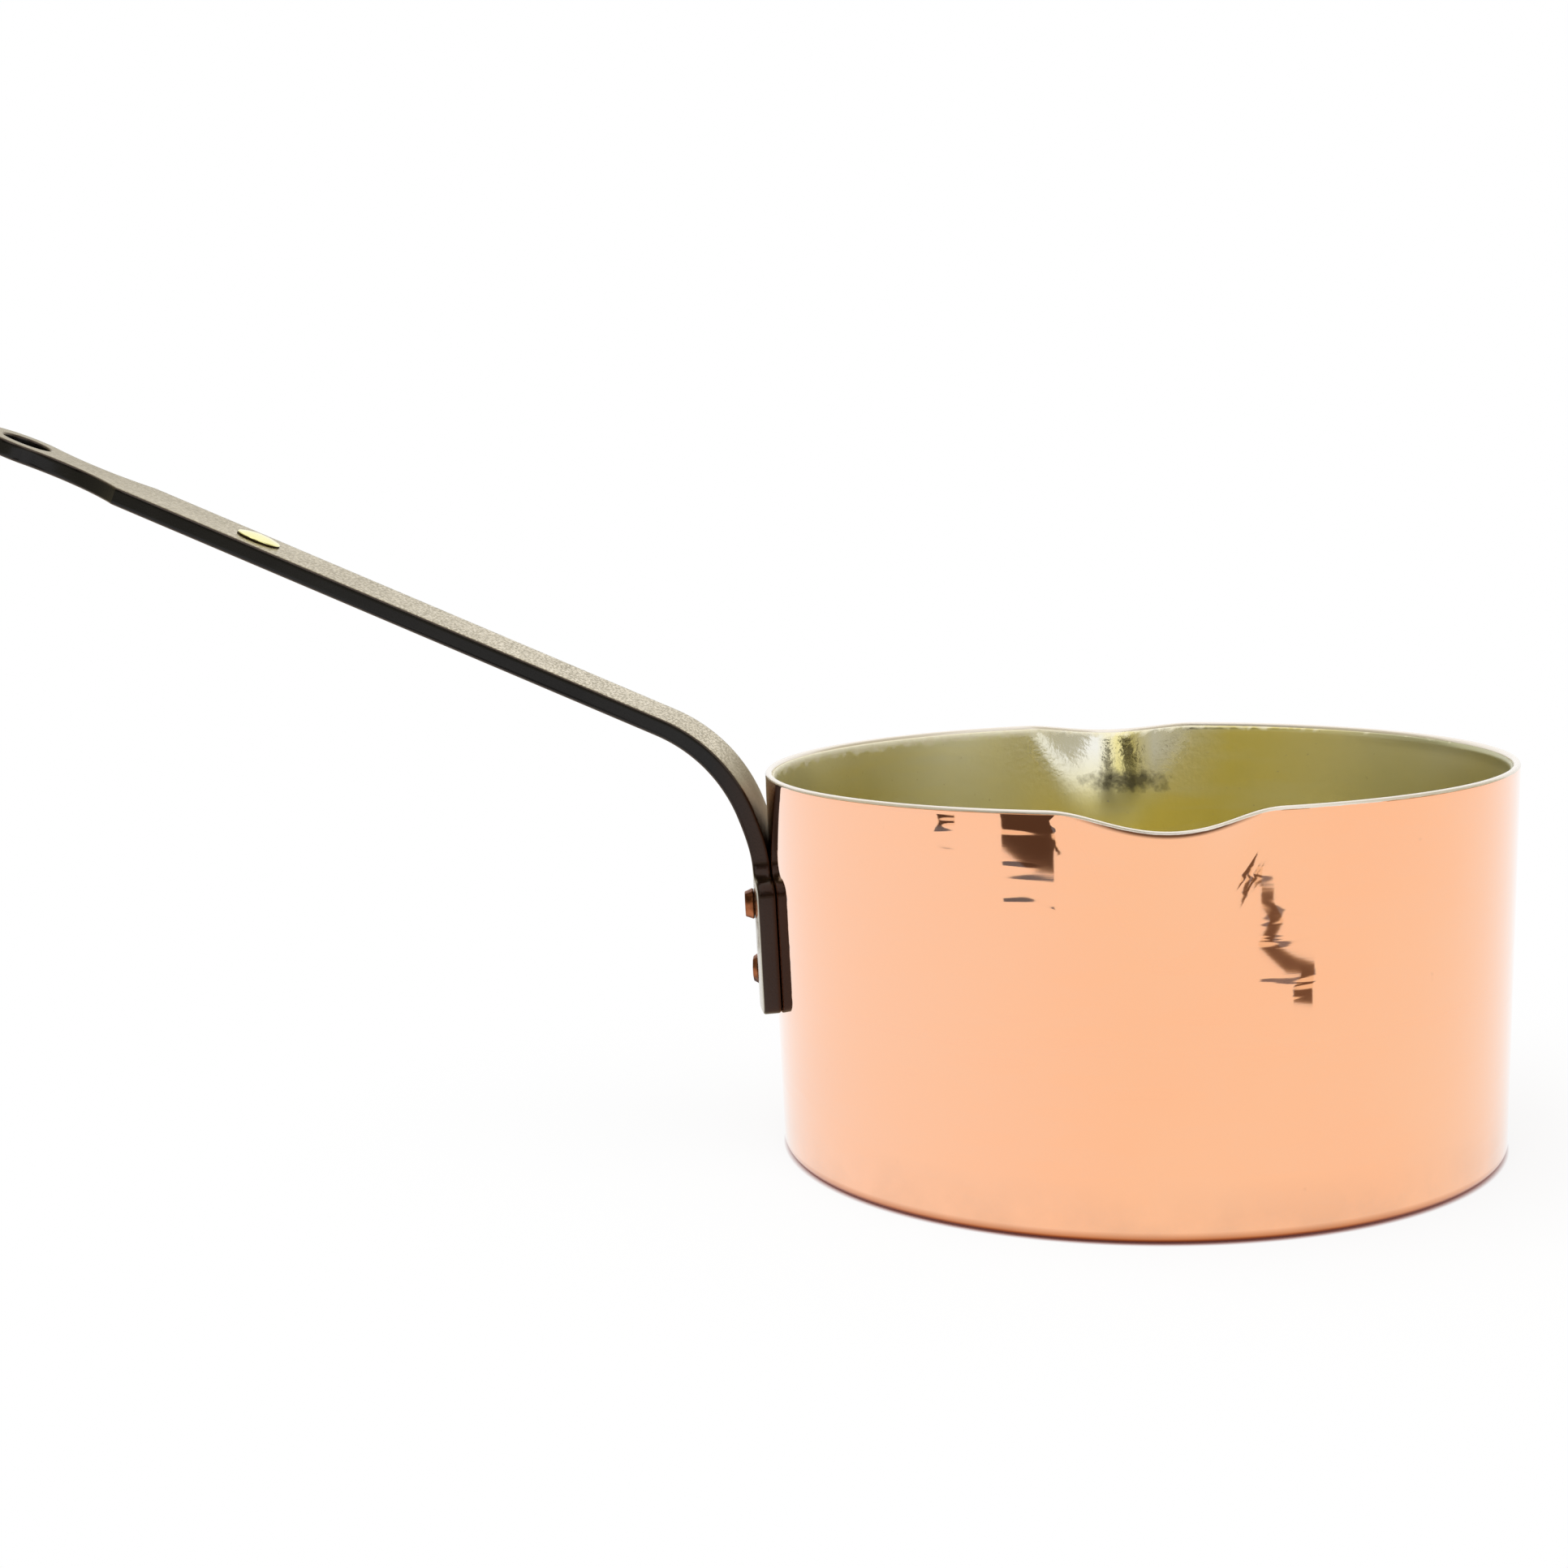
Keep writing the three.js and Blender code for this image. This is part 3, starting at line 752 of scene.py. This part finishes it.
def flat_bar():
    """Closed plate with broken edges, in flat coordinates (length, side, depth)."""
    side = bar_outline()
    across = 18
    fractions = spread(-1, 1, across)
    foot = [(0.0, t * side[0][1], -1.0, 0.0) for t in fractions]
    right = side[1:-1]
    tip = [side[-1]]
    left = [(x, -w, nx, -ny) for x, w, nx, ny in reversed(right)]
    ring = foot + right + tip + left
    count = len(ring)
    rows = len(right)
    quarter = [
        (EDGE * (1 - math.sin(a)), EDGE * (1 - math.cos(a))) for a in spread(0, math.pi / 2, 3)
    ]
    upper = quarter + [(0.0, 2 * EDGE)]
    lower = [(inset, THICK - depth) for inset, depth in reversed(upper)]
    levels = upper + lower
    corners = []
    for inset, depth in levels:
        corners += [(x - nx * inset, y - ny * inset, depth) for x, y, nx, ny in ring]
    faces = []
    for k in range(len(levels) - 1):
        for i in range(count):
            j = (i + 1) % count
            faces.append((k * count + i, (k + 1) * count + i, (k + 1) * count + j, k * count + j))
    for level, flip in ((0, False), (len(levels) - 1, True)):
        base = level * count
        grid = [[base + i for i in range(across + 1)]]
        for r in range(rows):
            a = base + across + 1 + r
            b = base + count - 1 - r
            low, high = Vector(corners[b]), Vector(corners[a])
            row = [b]
            for t in fractions[1:-1]:
                row.append(len(corners))
                corners.append(tuple(low.lerp(high, (t + 1) / 2)))
            grid.append(row + [a])
        end = base + across + 1 + rows
        for r in range(len(grid) - 1):
            for i in range(across):
                quad = (grid[r][i], grid[r][i + 1], grid[r + 1][i + 1], grid[r + 1][i])
                faces.append(quad[::-1] if flip else quad)
        for i in range(across):
            triangle = (grid[-1][i], grid[-1][i + 1], end)
            faces.append(triangle[::-1] if flip else triangle)
    return corners, faces


def bar_cutter(at, side, profile, facets):
    """Round cutter through the flat bar, its profile as (radius, depth)."""
    corners, faces = turned(profile, facets)
    return new_piece("cutter", [(at + x, side + y, z) for x, y, z in corners], faces)


def handle_cutters():
    out = 0.002
    rounded = arc(EYE_HOLE + EDGE, EDGE, EDGE, 270, 180, 4)
    eye = [(0, -out), (EYE_HOLE + EDGE, -out)] + rounded
    eye += [(r, THICK - z) for r, z in reversed(rounded)]
    eye += [(EYE_HOLE + EDGE, THICK + out), (0, THICK + out)]
    recess = [(0, -out), (RECESS_RADIUS, -out), (RECESS_RADIUS, RECESS_DEPTH), (0, RECESS_DEPTH)]
    drill = [(0, -out), (RIVET_HOLE, -out), (RIVET_HOLE, THICK + out), (0, THICK + out)]
    cutters = [
        bar_cutter(eye_at, 0, eye, EYE_FACETS),
        bar_cutter(eye_at - DISC_FROM_EYE, 0, recess, EYE_FACETS),
    ]
    for name, seat, height, side, head in rivet_places():
        cutters.append(bar_cutter(height, -side, drill, DRILL_FACETS))
    return cutters


def iron_colour(tree, grains, cloud, grip_wear_and_sheen, low_tint):
    """Colour of the iron: black sides, scaly under face, top face with wear and a painted sheen."""
    top, edge, under = (stored(tree, name) for name in ("top", "edge", "under"))
    forged = mix_colour(tree, cloud, (0.009, 0.008, 0.008, 1), (0.018, 0.016, 0.015, 1))
    brown_patch = mix_colour(tree, low_tint, forged, (0.046, 0.026, 0.019, 1))
    scaled = mix_colour(tree, grains, (0.045, 0.040, 0.033, 1), (0.170, 0.155, 0.128, 1))
    below = mix_colour(tree, under, brown_patch, scaled)
    # Painted sheen: the top face is painted light beige at the grip, partly wear and partly the
    # light it catches.
    bright = mix_colour(tree, grip_wear_and_sheen, (0.100, 0.094, 0.086, 1), (0.680, 0.600, 0.430, 1))
    rubbed = mix_colour(tree, grains, (0.060, 0.051, 0.038, 1), bright)
    browned = mix_colour(tree, low_tint, rubbed, (0.065, 0.040, 0.028, 1))
    faced = mix_colour(tree, top, below, browned)
    # Painted highlight: a thin brown line is painted along the rounded edges.
    painted_edge_highlight = calc(tree, "MULTIPLY", edge, calc(tree, "MULTIPLY_ADD", low_tint, -0.8, 0.8))
    return mix_colour(tree, painted_edge_highlight, faced, (0.085, 0.058, 0.042, 1))


def dark_iron():
    material, tree, shader, coords = new_material("dark_iron")
    cloud = clouds(tree, coords, 60.0, 1.4)
    x, y, z = axes_of(tree, coords)
    drawn = calc(tree, "MULTIPLY", y, 0.28)
    ground = node(tree, "ShaderNodeCombineXYZ", {0: x, 1: drawn, 2: z}).outputs[0]
    sand = noise(tree, ground, 2200.0, 4.0)
    grains = ramp(tree, sand, 0.40, 0.65)
    # Browner and rougher towards the foot.
    low_tint = ramp(tree, x, LOW_TINT_FROM, LOW_TINT_TO)
    untinted = calc(tree, "SUBTRACT", 1.0, low_tint)
    # Where the top face is light from wear and painted sheen, most at the grip.
    off_grip = calc(tree, "ABSOLUTE", calc(tree, "SUBTRACT", x, GRIP_MIDDLE))
    grip_wear_and_sheen = calc(tree, "MULTIPLY", ramp(tree, off_grip, GRIP_REACH, 0.0), untinted)
    top, under = stored(tree, "top"), stored(tree, "under")
    smooth = calc(tree, "MULTIPLY_ADD", cloud, 0.08, 0.32)
    sanded = calc(tree, "MULTIPLY_ADD", low_tint, 0.20, -0.14)
    faces = calc(tree, "MULTIPLY_ADD", top, sanded, calc(tree, "MULTIPLY", under, -0.14))
    oiled = calc(tree, "MULTIPLY_ADD", calc(tree, "MULTIPLY", grains, grip_wear_and_sheen), 0.75, 0.20)
    kept = calc(tree, "MULTIPLY", oiled, untinted)
    outer = calc(tree, "MULTIPLY_ADD", low_tint, 0.70, -0.10)
    sides = calc(tree, "MULTIPLY_ADD", low_tint, -0.2, 0.5)
    waxed = calc(tree, "MULTIPLY_ADD", under, outer, sides)
    film = calc(tree, "MULTIPLY_ADD", top, calc(tree, "SUBTRACT", kept, 0.5), waxed, clamp=True)
    finish = {
        "Base Color": iron_colour(tree, grains, cloud, grip_wear_and_sheen, low_tint),
        "Roughness": calc(tree, "ADD", smooth, faces),
        "Metallic": 1.0,
        "Specular Tint": (1.0, 0.90, 0.68, 1),
        "Normal": bump(tree, sand, 0.00006),
        "Coat Weight": film,
        "Coat Roughness": 0.16,
    }
    feed(tree, shader, finish)
    return material


def mark_faces(flat):
    """Marks the two faces of the flat bar, and the rounds of its edges."""
    close = EDGE * 0.05
    depths = [corner.co.z for corner in flat.data.vertices]
    mark(flat, "top", [1.0 if depth < close else 0.0 for depth in depths])
    mark(flat, "under", [1.0 if THICK - depth < close else 0.0 for depth in depths])
    from_faces = [min(depth, THICK - depth) for depth in depths]
    mark(flat, "edge", [1.0 if close < d < EDGE - close else 0.0 for d in from_faces])


handle = new_piece("iron_handle", *flat_bar())
cut_away(handle, handle_cutters())
mark_faces(handle)
for corner in handle.data.vertices:
    corner.co = bend(corner.co)
handle.data.set_sharp_from_angle(angle=math.radians(32))
handle.data.materials.append(dark_iron())
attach(handle, "root")
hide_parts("handle")


# ---- Rivets --------------------------------------------------------------------------------
# Three copper rivets hold the foot: pushed through from inside the pan, where their round heads
# are tinned over with the lining, and hammered down to blunt cones on the outside of the foot.

SHANK = 0.0025
HEAD_RADIUS = 0.0034
TIP_RADIUS = 0.0029
INNER_HEAD_RADIUS = 0.0045
INNER_HEAD = 0.0018
SEAT_GAP = 0.00002
HEAD_HEIGHT = 0.0020
CROWN = 0.00003
HAMMER_FLATS = 9
HAMMERED = 0.75
RIVET_FACETS = 54


def set_rivets_tree():
    """Sets a rivet on each point, aimed out of the wall, with its head hammered to its height."""
    tree, given, out = group_tree(
        "set rivets",
        "GeometryNodeTree",
        [
            ("Geometry", "Geometry"),
            ("Rivet", "Object"),
            ("Head Height", "Float"),
            ("Finish", "Material"),
        ],
        [("Geometry", "Geometry")],
    )
    rivet = node(tree, "GeometryNodeObjectInfo", {"Object": given["Rivet"]}).outputs["Geometry"]
    aim = node(tree, "GeometryNodeInputNamedAttribute", {"Name": "aim"}, data_type="FLOAT_VECTOR")
    turn = node(tree, "FunctionNodeEulerToRotation", {0: aim.outputs[0]}).outputs[0]
    placed = node(
        tree,
        "GeometryNodeInstanceOnPoints",
        {"Points": given["Geometry"], "Instance": rivet, "Rotation": turn},
    ).outputs[0]
    whole = node(tree, "GeometryNodeRealizeInstances", {0: placed}).outputs[0]
    wanted = node(tree, "GeometryNodeInputNamedAttribute", {"Name": "head"}, data_type="FLOAT")
    over = node(tree, "GeometryNodeInputNamedAttribute", {"Name": "over_foot"}, data_type="FLOAT")
    taller = calc(tree, "DIVIDE", wanted.outputs[0], given["Head Height"])
    flattened = calc(tree, "MULTIPLY", over.outputs[0], calc(tree, "SUBTRACT", taller, 1.0))
    outwards = node(
        tree, "FunctionNodeRotateVector", {"Vector": (0, 0, 1), "Rotation": turn}
    ).outputs[0]
    move = node(
        tree, "ShaderNodeVectorMath", {0: outwards, "Scale": flattened}, operation="SCALE"
    ).outputs[0]
    hammered = node(tree, "GeometryNodeSetPosition", {"Geometry": whole, "Offset": move}).outputs[0]
    again = node(tree, "GeometryNodeRealizeInstances", {0: hammered}).outputs[0]
    finished = node(
        tree, "GeometryNodeSetMaterial", {"Geometry": again, "Material": given["Finish"]}
    ).outputs[0]
    feed(tree, out, {"Geometry": finished})
    return tree


def hammered_copper():
    material, tree, shader, coords = new_material("rivet_copper")
    cloud = clouds(tree, coords, 320.0, 1.5)
    bare = mix_colour(tree, cloud, (0.085, 0.028, 0.011, 1), (0.43, 0.15, 0.062, 1))
    covered = placed_group(
        tree,
        tinned_over,
        {
            "Vector": coords,
            "Bare Colour": bare,
            "Bare Roughness": calc(tree, "MULTIPLY_ADD", cloud, -0.15, 0.45),
            "Tin Colour": (0.72, 0.69, 0.52, 1),
            "Tin Roughness": 0.32,
        },
    )
    finish = {
        "Base Color": covered["Colour"],
        "Roughness": covered["Roughness"],
        "Metallic": 1.0,
        "Normal": bump(tree, noise(tree, coords, 700.0, 2.0), 0.00012),
    }
    feed(tree, shader, finish)
    return material


def one_rivet():
    """A rivet along Z: its inner head below, z = 0 on the wall's outer face, its cone above."""
    hollow = (2 * INNER_HEAD_RADIUS) ** 2 / 8 / (RIM_RADIUS - WALL_TAPER)
    grip_in = COPPER + LINING_GAP + TIN + hollow + SEAT_GAP
    grip_out = FOOT_GAP + THICK + SEAT_GAP
    dome = (INNER_HEAD_RADIUS**2 + INNER_HEAD**2) / (2 * INNER_HEAD)
    span = math.degrees(math.asin(INNER_HEAD_RADIUS / dome))
    inner = arc(0, dome - grip_in - INNER_HEAD, dome, -90, span - 90, 10)
    edge = HEAD_HEIGHT * 0.2
    top = grip_out + HEAD_HEIGHT
    shank = [(SHANK, -grip_in), (SHANK, grip_out)]
    skirt = arc(HEAD_RADIUS - edge, grip_out + edge, edge, -60, 20, 4)
    cone = []
    for t in spread(0.15, 0.9, 5):
        radius = HEAD_RADIUS + (TIP_RADIUS - HEAD_RADIUS) * t
        cone.append((radius, grip_out + edge + (HEAD_HEIGHT - 2 * edge) * t))
    tip = arc(TIP_RADIUS - edge, top - edge, edge, 25, 90, 4)
    crown = [(TIP_RADIUS * 0.45, top + CROWN * 2 / 3), (0, top + CROWN)]
    corners, faces = turned(inner + shank + skirt + cone + tip + crown, RIVET_FACETS)
    flat = 2 * math.pi / HAMMER_FLATS
    shaped = []
    for x, y, z in corners:
        a = math.atan2(y, x) % flat - flat / 2
        share = HAMMERED if z > grip_out - 1e-6 and math.hypot(x, y) > SHANK * 0.8 else 0.0
        shrink = 1 - share * (1 - math.cos(flat / 2) / math.cos(a))
        shaped.append((x * shrink, y * shrink, z))
    rivet = new_piece("rivet", shaped, faces)
    mark(rivet, "over_foot", [max(z - grip_out, 0.0) for x, y, z in shaped])
    mark(rivet, "tinned", [1.0 if z < -grip_in + 1e-5 else 0.0 for x, y, z in shaped])
    return rivet


places = rivet_places()
rivets = new_piece("copper_rivets", [seat.translation for name, seat, *rest in places], [])
aim = rivets.data.attributes.new("aim", "FLOAT_VECTOR", "POINT")
for i, (name, seat, height, side, head) in enumerate(places):
    aim.data[i].vector = seat.to_euler()
mark(rivets, "head", [place[4] for place in places])
pattern = one_rivet()
shape_by(
    rivets,
    set_rivets_tree(),
    {"Rivet": pattern, "Head Height": HEAD_HEIGHT, "Finish": hammered_copper()},
)
bpy.data.objects.remove(pattern)
rivets.data.set_sharp_from_angle(angle=math.radians(40))
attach(rivets, "root")
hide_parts(*[place[0] for place in places])


# ---- Brass disc ----------------------------------------------------------------------------
# Plain turned brass plate, let into a shallow round seat in the top of the bar. Its face is
# crowned and polished, and its edge is painted dark brown as shade.

DISC_RADIUS = 0.0048
DISC_PROUD = 0.0006
DISC_CROWN = 0.0007
DISC_EDGE = 0.0003
DISC_SEAT_GAP = 0.0002
DISC_FACETS = 96


def polished_brass():
    material, tree, shader, coords = new_material("polished_brass")
    cloud = clouds(tree, coords, 240.0, 1.2)
    hue = mix_colour(tree, cloud, (1.0, 0.92, 0.34, 1), (1.0, 0.97, 0.52, 1))
    # Painted shade: the disc's edge is painted dark brown, and made rougher.
    dirt = stored(tree, "dirt")
    face_smooth = calc(tree, "MULTIPLY_ADD", cloud, 0.06, 0.18)
    lines = placed_group(tree, polish_lines, {"Vector": coords, "Across": 5200.0, "Along": 400.0})
    finish = {
        "Base Color": mix_colour(tree, dirt, hue, (0.060, 0.035, 0.014, 1)),
        "Roughness": calc(tree, "MULTIPLY_ADD", dirt, 0.3, face_smooth),
        "Metallic": 1.0,
        "Normal": bump(tree, lines["Height"], 0.000002),
        "Coat Weight": calc(tree, "MULTIPLY_ADD", dirt, -0.5, 0.5),
        "Coat Roughness": 0.2,
    }
    feed(tree, shader, finish)
    return material


def brass_disc():
    low = DISC_SEAT_GAP - RECESS_DEPTH
    rim = DISC_RADIUS - DISC_EDGE
    profile = [(0, low), (rim, low)]
    profile += arc(rim, low + DISC_EDGE, DISC_EDGE, -60, 0, 3)
    profile += arc(rim, DISC_PROUD - DISC_EDGE, DISC_EDGE, 0, 75, 5)
    for share in spread(0.95, 0.0, 10):
        profile.append((rim * share, DISC_PROUD + DISC_CROWN * (1 - share**2)))
    corners, faces = turned(profile, DISC_FACETS)
    out, up, slope = bar_path(eye_at - DISC_FROM_EYE)
    seat = Matrix.Translation((-out, 0, up)) @ Matrix.Rotation(RISE, 4, "Y")
    plate = new_piece("brass_plate", [seat @ Vector(c) for c in corners], faces)
    mark(plate, "dirt", [1.0 if z < DISC_PROUD - DISC_EDGE * 0.8 else 0.0 for x, y, z in corners])
    return plate


disc = brass_disc()
disc.data.materials.append(polished_brass())
disc.data.set_sharp_from_angle(angle=math.radians(40))
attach(disc, "root")
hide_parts("brass_disc")


# ---- Studio --------------------------------------------------------------------------------
# White table and surround, one soft lamp overhead, and the camera a little above the rim, in
# front of one of the lips. Cloths and walls about the pan give the bright metal what it mirrors.

CAMERA_PLACE = Vector((-0.03543, -0.48626, 0.14052))
YAW, PITCH, ROLL = math.radians(-4.79), math.radians(-7.22), math.radians(-1.79)
FOCAL_PIXELS = 2754
PHOTO_PIXELS = 1932
SENSOR = 36.0
TABLE_HALF = 4.0
TABLE_DROP = 0.00005
PAINTED_SHADE_FROM, PAINTED_SHADE_TO = 0.0768, 0.0784
CLEAR_FROM, CLEAR_TO = 0.0756, 0.0784
FAR_FROM, FAR_TO = 0.082, 0.202
LEFT_CARD_HEIGHT = 0.06
SMALL_CARD_HEIGHT = 0.02
CLOTH_LIFT = 0.0005
STRIP_WIDTH = 0.021
SURROUND_LIGHT = 0.55


def seen_directly(tree):
    """1 for rays from the camera and for mirrored or refracted ones, 0 for the rest."""
    path = node(tree, "ShaderNodeLightPath").outputs
    shiny = calc(tree, "MAXIMUM", path["Is Glossy Ray"], path["Is Transmission Ray"])
    return calc(tree, "MAXIMUM", path["Is Camera Ray"], shiny)


def cleared(owner):
    """Node tree of a material or a world, with nothing in it yet."""
    owner.use_nodes = True
    owner.node_tree.nodes.clear()
    return owner.node_tree


def white_table():
    """White paper, lit by the lamp only close to the pan, with painted red shade round its foot."""
    material = bpy.data.materials.new("white_table")
    tree = cleared(material)
    paper = node(tree, "ShaderNodeBsdfDiffuse", {"Color": (0.9, 0.9, 0.9, 1)}).outputs[0]
    coords = node(tree, "ShaderNodeTexCoord").outputs["Object"]
    away = node(tree, "ShaderNodeVectorMath", {0: coords}, operation="LENGTH").outputs["Value"]
    beyond_painted_shade = ramp(tree, away, PAINTED_SHADE_FROM, PAINTED_SHADE_TO)
    # Painted shade: a dark red ring round the pan's foot, for contact shadow tinged by light from
    # the copper.
    painted_red_shade = mix_colour(tree, beyond_painted_shade, (0.42, 0.14, 0.11, 1), (1, 1, 1, 1))
    white = node(tree, "ShaderNodeEmission", {"Color": painted_red_shade, "Strength": 1.0}).outputs[0]
    clear = ramp(tree, away, CLEAR_FROM, CLEAR_TO)
    far = ramp(tree, away, FAR_FROM, FAR_TO)
    plain = calc(tree, "MULTIPLY_ADD", far, 0.12, calc(tree, "MULTIPLY", clear, 0.88))
    share = calc(tree, "MULTIPLY", seen_directly(tree), plain)
    mixed = node(tree, "ShaderNodeMixShader", {0: share, 1: paper, 2: white}).outputs[0]
    node(tree, "ShaderNodeOutputMaterial", {"Surface": mixed})
    return material


table_corners = [
    (x * TABLE_HALF, y * TABLE_HALF, -TABLE_DROP) for x, y in [(-1, -1), (1, -1), (1, 1), (-1, 1)]
]
floor = new_piece("table", table_corners, [(0, 1, 2, 3)])
floor.data.materials.append(white_table())


def around(start, end, low, high, distance):
    """Bottom and top line of a screen about the pan, angles from the camera's side in degrees."""
    line = []
    for a in spread(start, end, 8):
        line.append((distance * math.sin(math.radians(a)), -distance * math.cos(math.radians(a))))
    below, over = (distance * math.tan(math.radians(a)) + PAN_HEIGHT for a in (low, high))
    return [(x, y, below) for x, y in line], [(x, y, over) for x, y in line]


def upright(line, height):
    return [(x, y, 0.0) for x, y in line], [(x, y, height) for x, y in line]


def laid(line, width):
    """Near and far edge of a strip that lies along a line on the table."""
    near, far = [], []
    for i, place in enumerate(line):
        before, after = Vector(line[max(i - 1, 0)]), Vector(line[min(i + 1, len(line) - 1)])
        along = (after - before).normalized() * width / 2
        near.append((place[0] - along.y, place[1] + along.x, CLOTH_LIFT))
        far.append((place[0] + along.y, place[1] - along.x, CLOTH_LIFT))
    return near, far


def screen(name, colour, stretches):
    """Cloth hung or laid about the pan, which only the bright metal mirrors."""
    corners, faces = [], []
    for low, high in stretches:
        first, count = len(corners), len(low)
        corners += low + high
        for i in range(first, first + count - 1):
            faces.append((i, i + 1, i + 1 + count, i + count))
    hung = new_piece(name, corners, faces)
    cloth = bpy.data.materials.new(name)
    tree = cleared(cloth)
    shade = node(tree, "ShaderNodeEmission", {"Color": (*colour, 1), "Strength": 1.0}).outputs[0]
    node(tree, "ShaderNodeOutputMaterial", {"Surface": shade})
    hung.data.materials.append(cloth)
    hung.visible_camera = False
    hung.visible_diffuse = False
    hung.visible_shadow = False


left_card = [(-0.171, -0.366), (-0.220, -0.349), (-0.286, -0.347)]
small_card = [(-0.395, -0.293), (-0.419, -0.2525)]
right_strip = [
    (0.191, -0.326), (0.178, -0.312), (0.177, -0.282), (0.146, -0.268),
    (0.159, -0.230), (0.174, -0.211), (0.154, -0.200), (0.143, -0.190),
]
rear_strip = [(-x, -y) for x, y in right_strip]
screen(
    "brown_cloth",
    (0.085, 0.060, 0.045),
    [upright(left_card, LEFT_CARD_HEIGHT), upright(small_card, SMALL_CARD_HEIGHT)],
)
screen(
    "pale_cloth",
    (0.17, 0.12, 0.09),
    [laid(strip, STRIP_WIDTH) for strip in (right_strip, rear_strip)],
)
screen(
    "grey_wall",
    (0.50, 0.47, 0.36),
    [around(-75, 45, 0, 18, 1.2), around(70, 130, 0, 60, 1.2), around(-130, -62, 0, 60, 1.2)],
)
screen("light_grey_wall", (0.55, 0.53, 0.46), [around(-62, -37, 15, 60, 1.2)])
screen(
    "dark_cloth",
    (0.04, 0.035, 0.025),
    [around(-45, 26, 14, 30, 1.1), around(-62, -32, 28, 55, 1.0), around(-2, 20, 28, 55, 1.0)],
)

world = bpy.data.worlds.new("white_surround")
bpy.context.scene.world = world
sky = cleared(world)
level = calc(sky, "MULTIPLY_ADD", seen_directly(sky), 1 - SURROUND_LIGHT, SURROUND_LIGHT)
surround = node(sky, "ShaderNodeBackground", {"Color": (1, 1, 1, 1), "Strength": level}).outputs[0]
node(sky, "ShaderNodeOutputWorld", {"Surface": surround})

lamp_data = bpy.data.lights.new("soft_lamp", "AREA")
lamp_data.shape = "SQUARE"
lamp_data.size = 1.6
lamp_data.energy = 26.0
lamp = bpy.data.objects.new("soft_lamp", lamp_data)
lamp.location = (-0.5, -0.4, 1.8)
lamp.rotation_euler = (Vector((0, 0, 0)) - lamp.location).to_track_quat("-Z", "Y").to_euler()
lamp.visible_glossy = False
bpy.context.scene.collection.objects.link(lamp)

forward = Vector(
    (math.sin(YAW) * math.cos(PITCH), math.cos(YAW) * math.cos(PITCH), math.sin(PITCH))
)
right = forward.cross(Vector((0, 0, 1))).normalized()
above = right.cross(forward)
across = right * math.cos(ROLL) + above * math.sin(ROLL)
rolled = above * math.cos(ROLL) - right * math.sin(ROLL)
camera_data = bpy.data.cameras.new("camera")
camera_data.sensor_width = SENSOR
camera_data.lens = SENSOR * FOCAL_PIXELS / PHOTO_PIXELS
camera_data.clip_start = 0.01
camera = bpy.data.objects.new("camera", camera_data)
axes = Matrix((across, rolled, -forward)).transposed().to_4x4()
camera.matrix_world = Matrix.Translation(CAMERA_PLACE) @ axes
bpy.context.scene.collection.objects.link(camera)
bpy.context.scene.camera = camera
bpy.context.scene.view_settings.view_transform = "Standard"
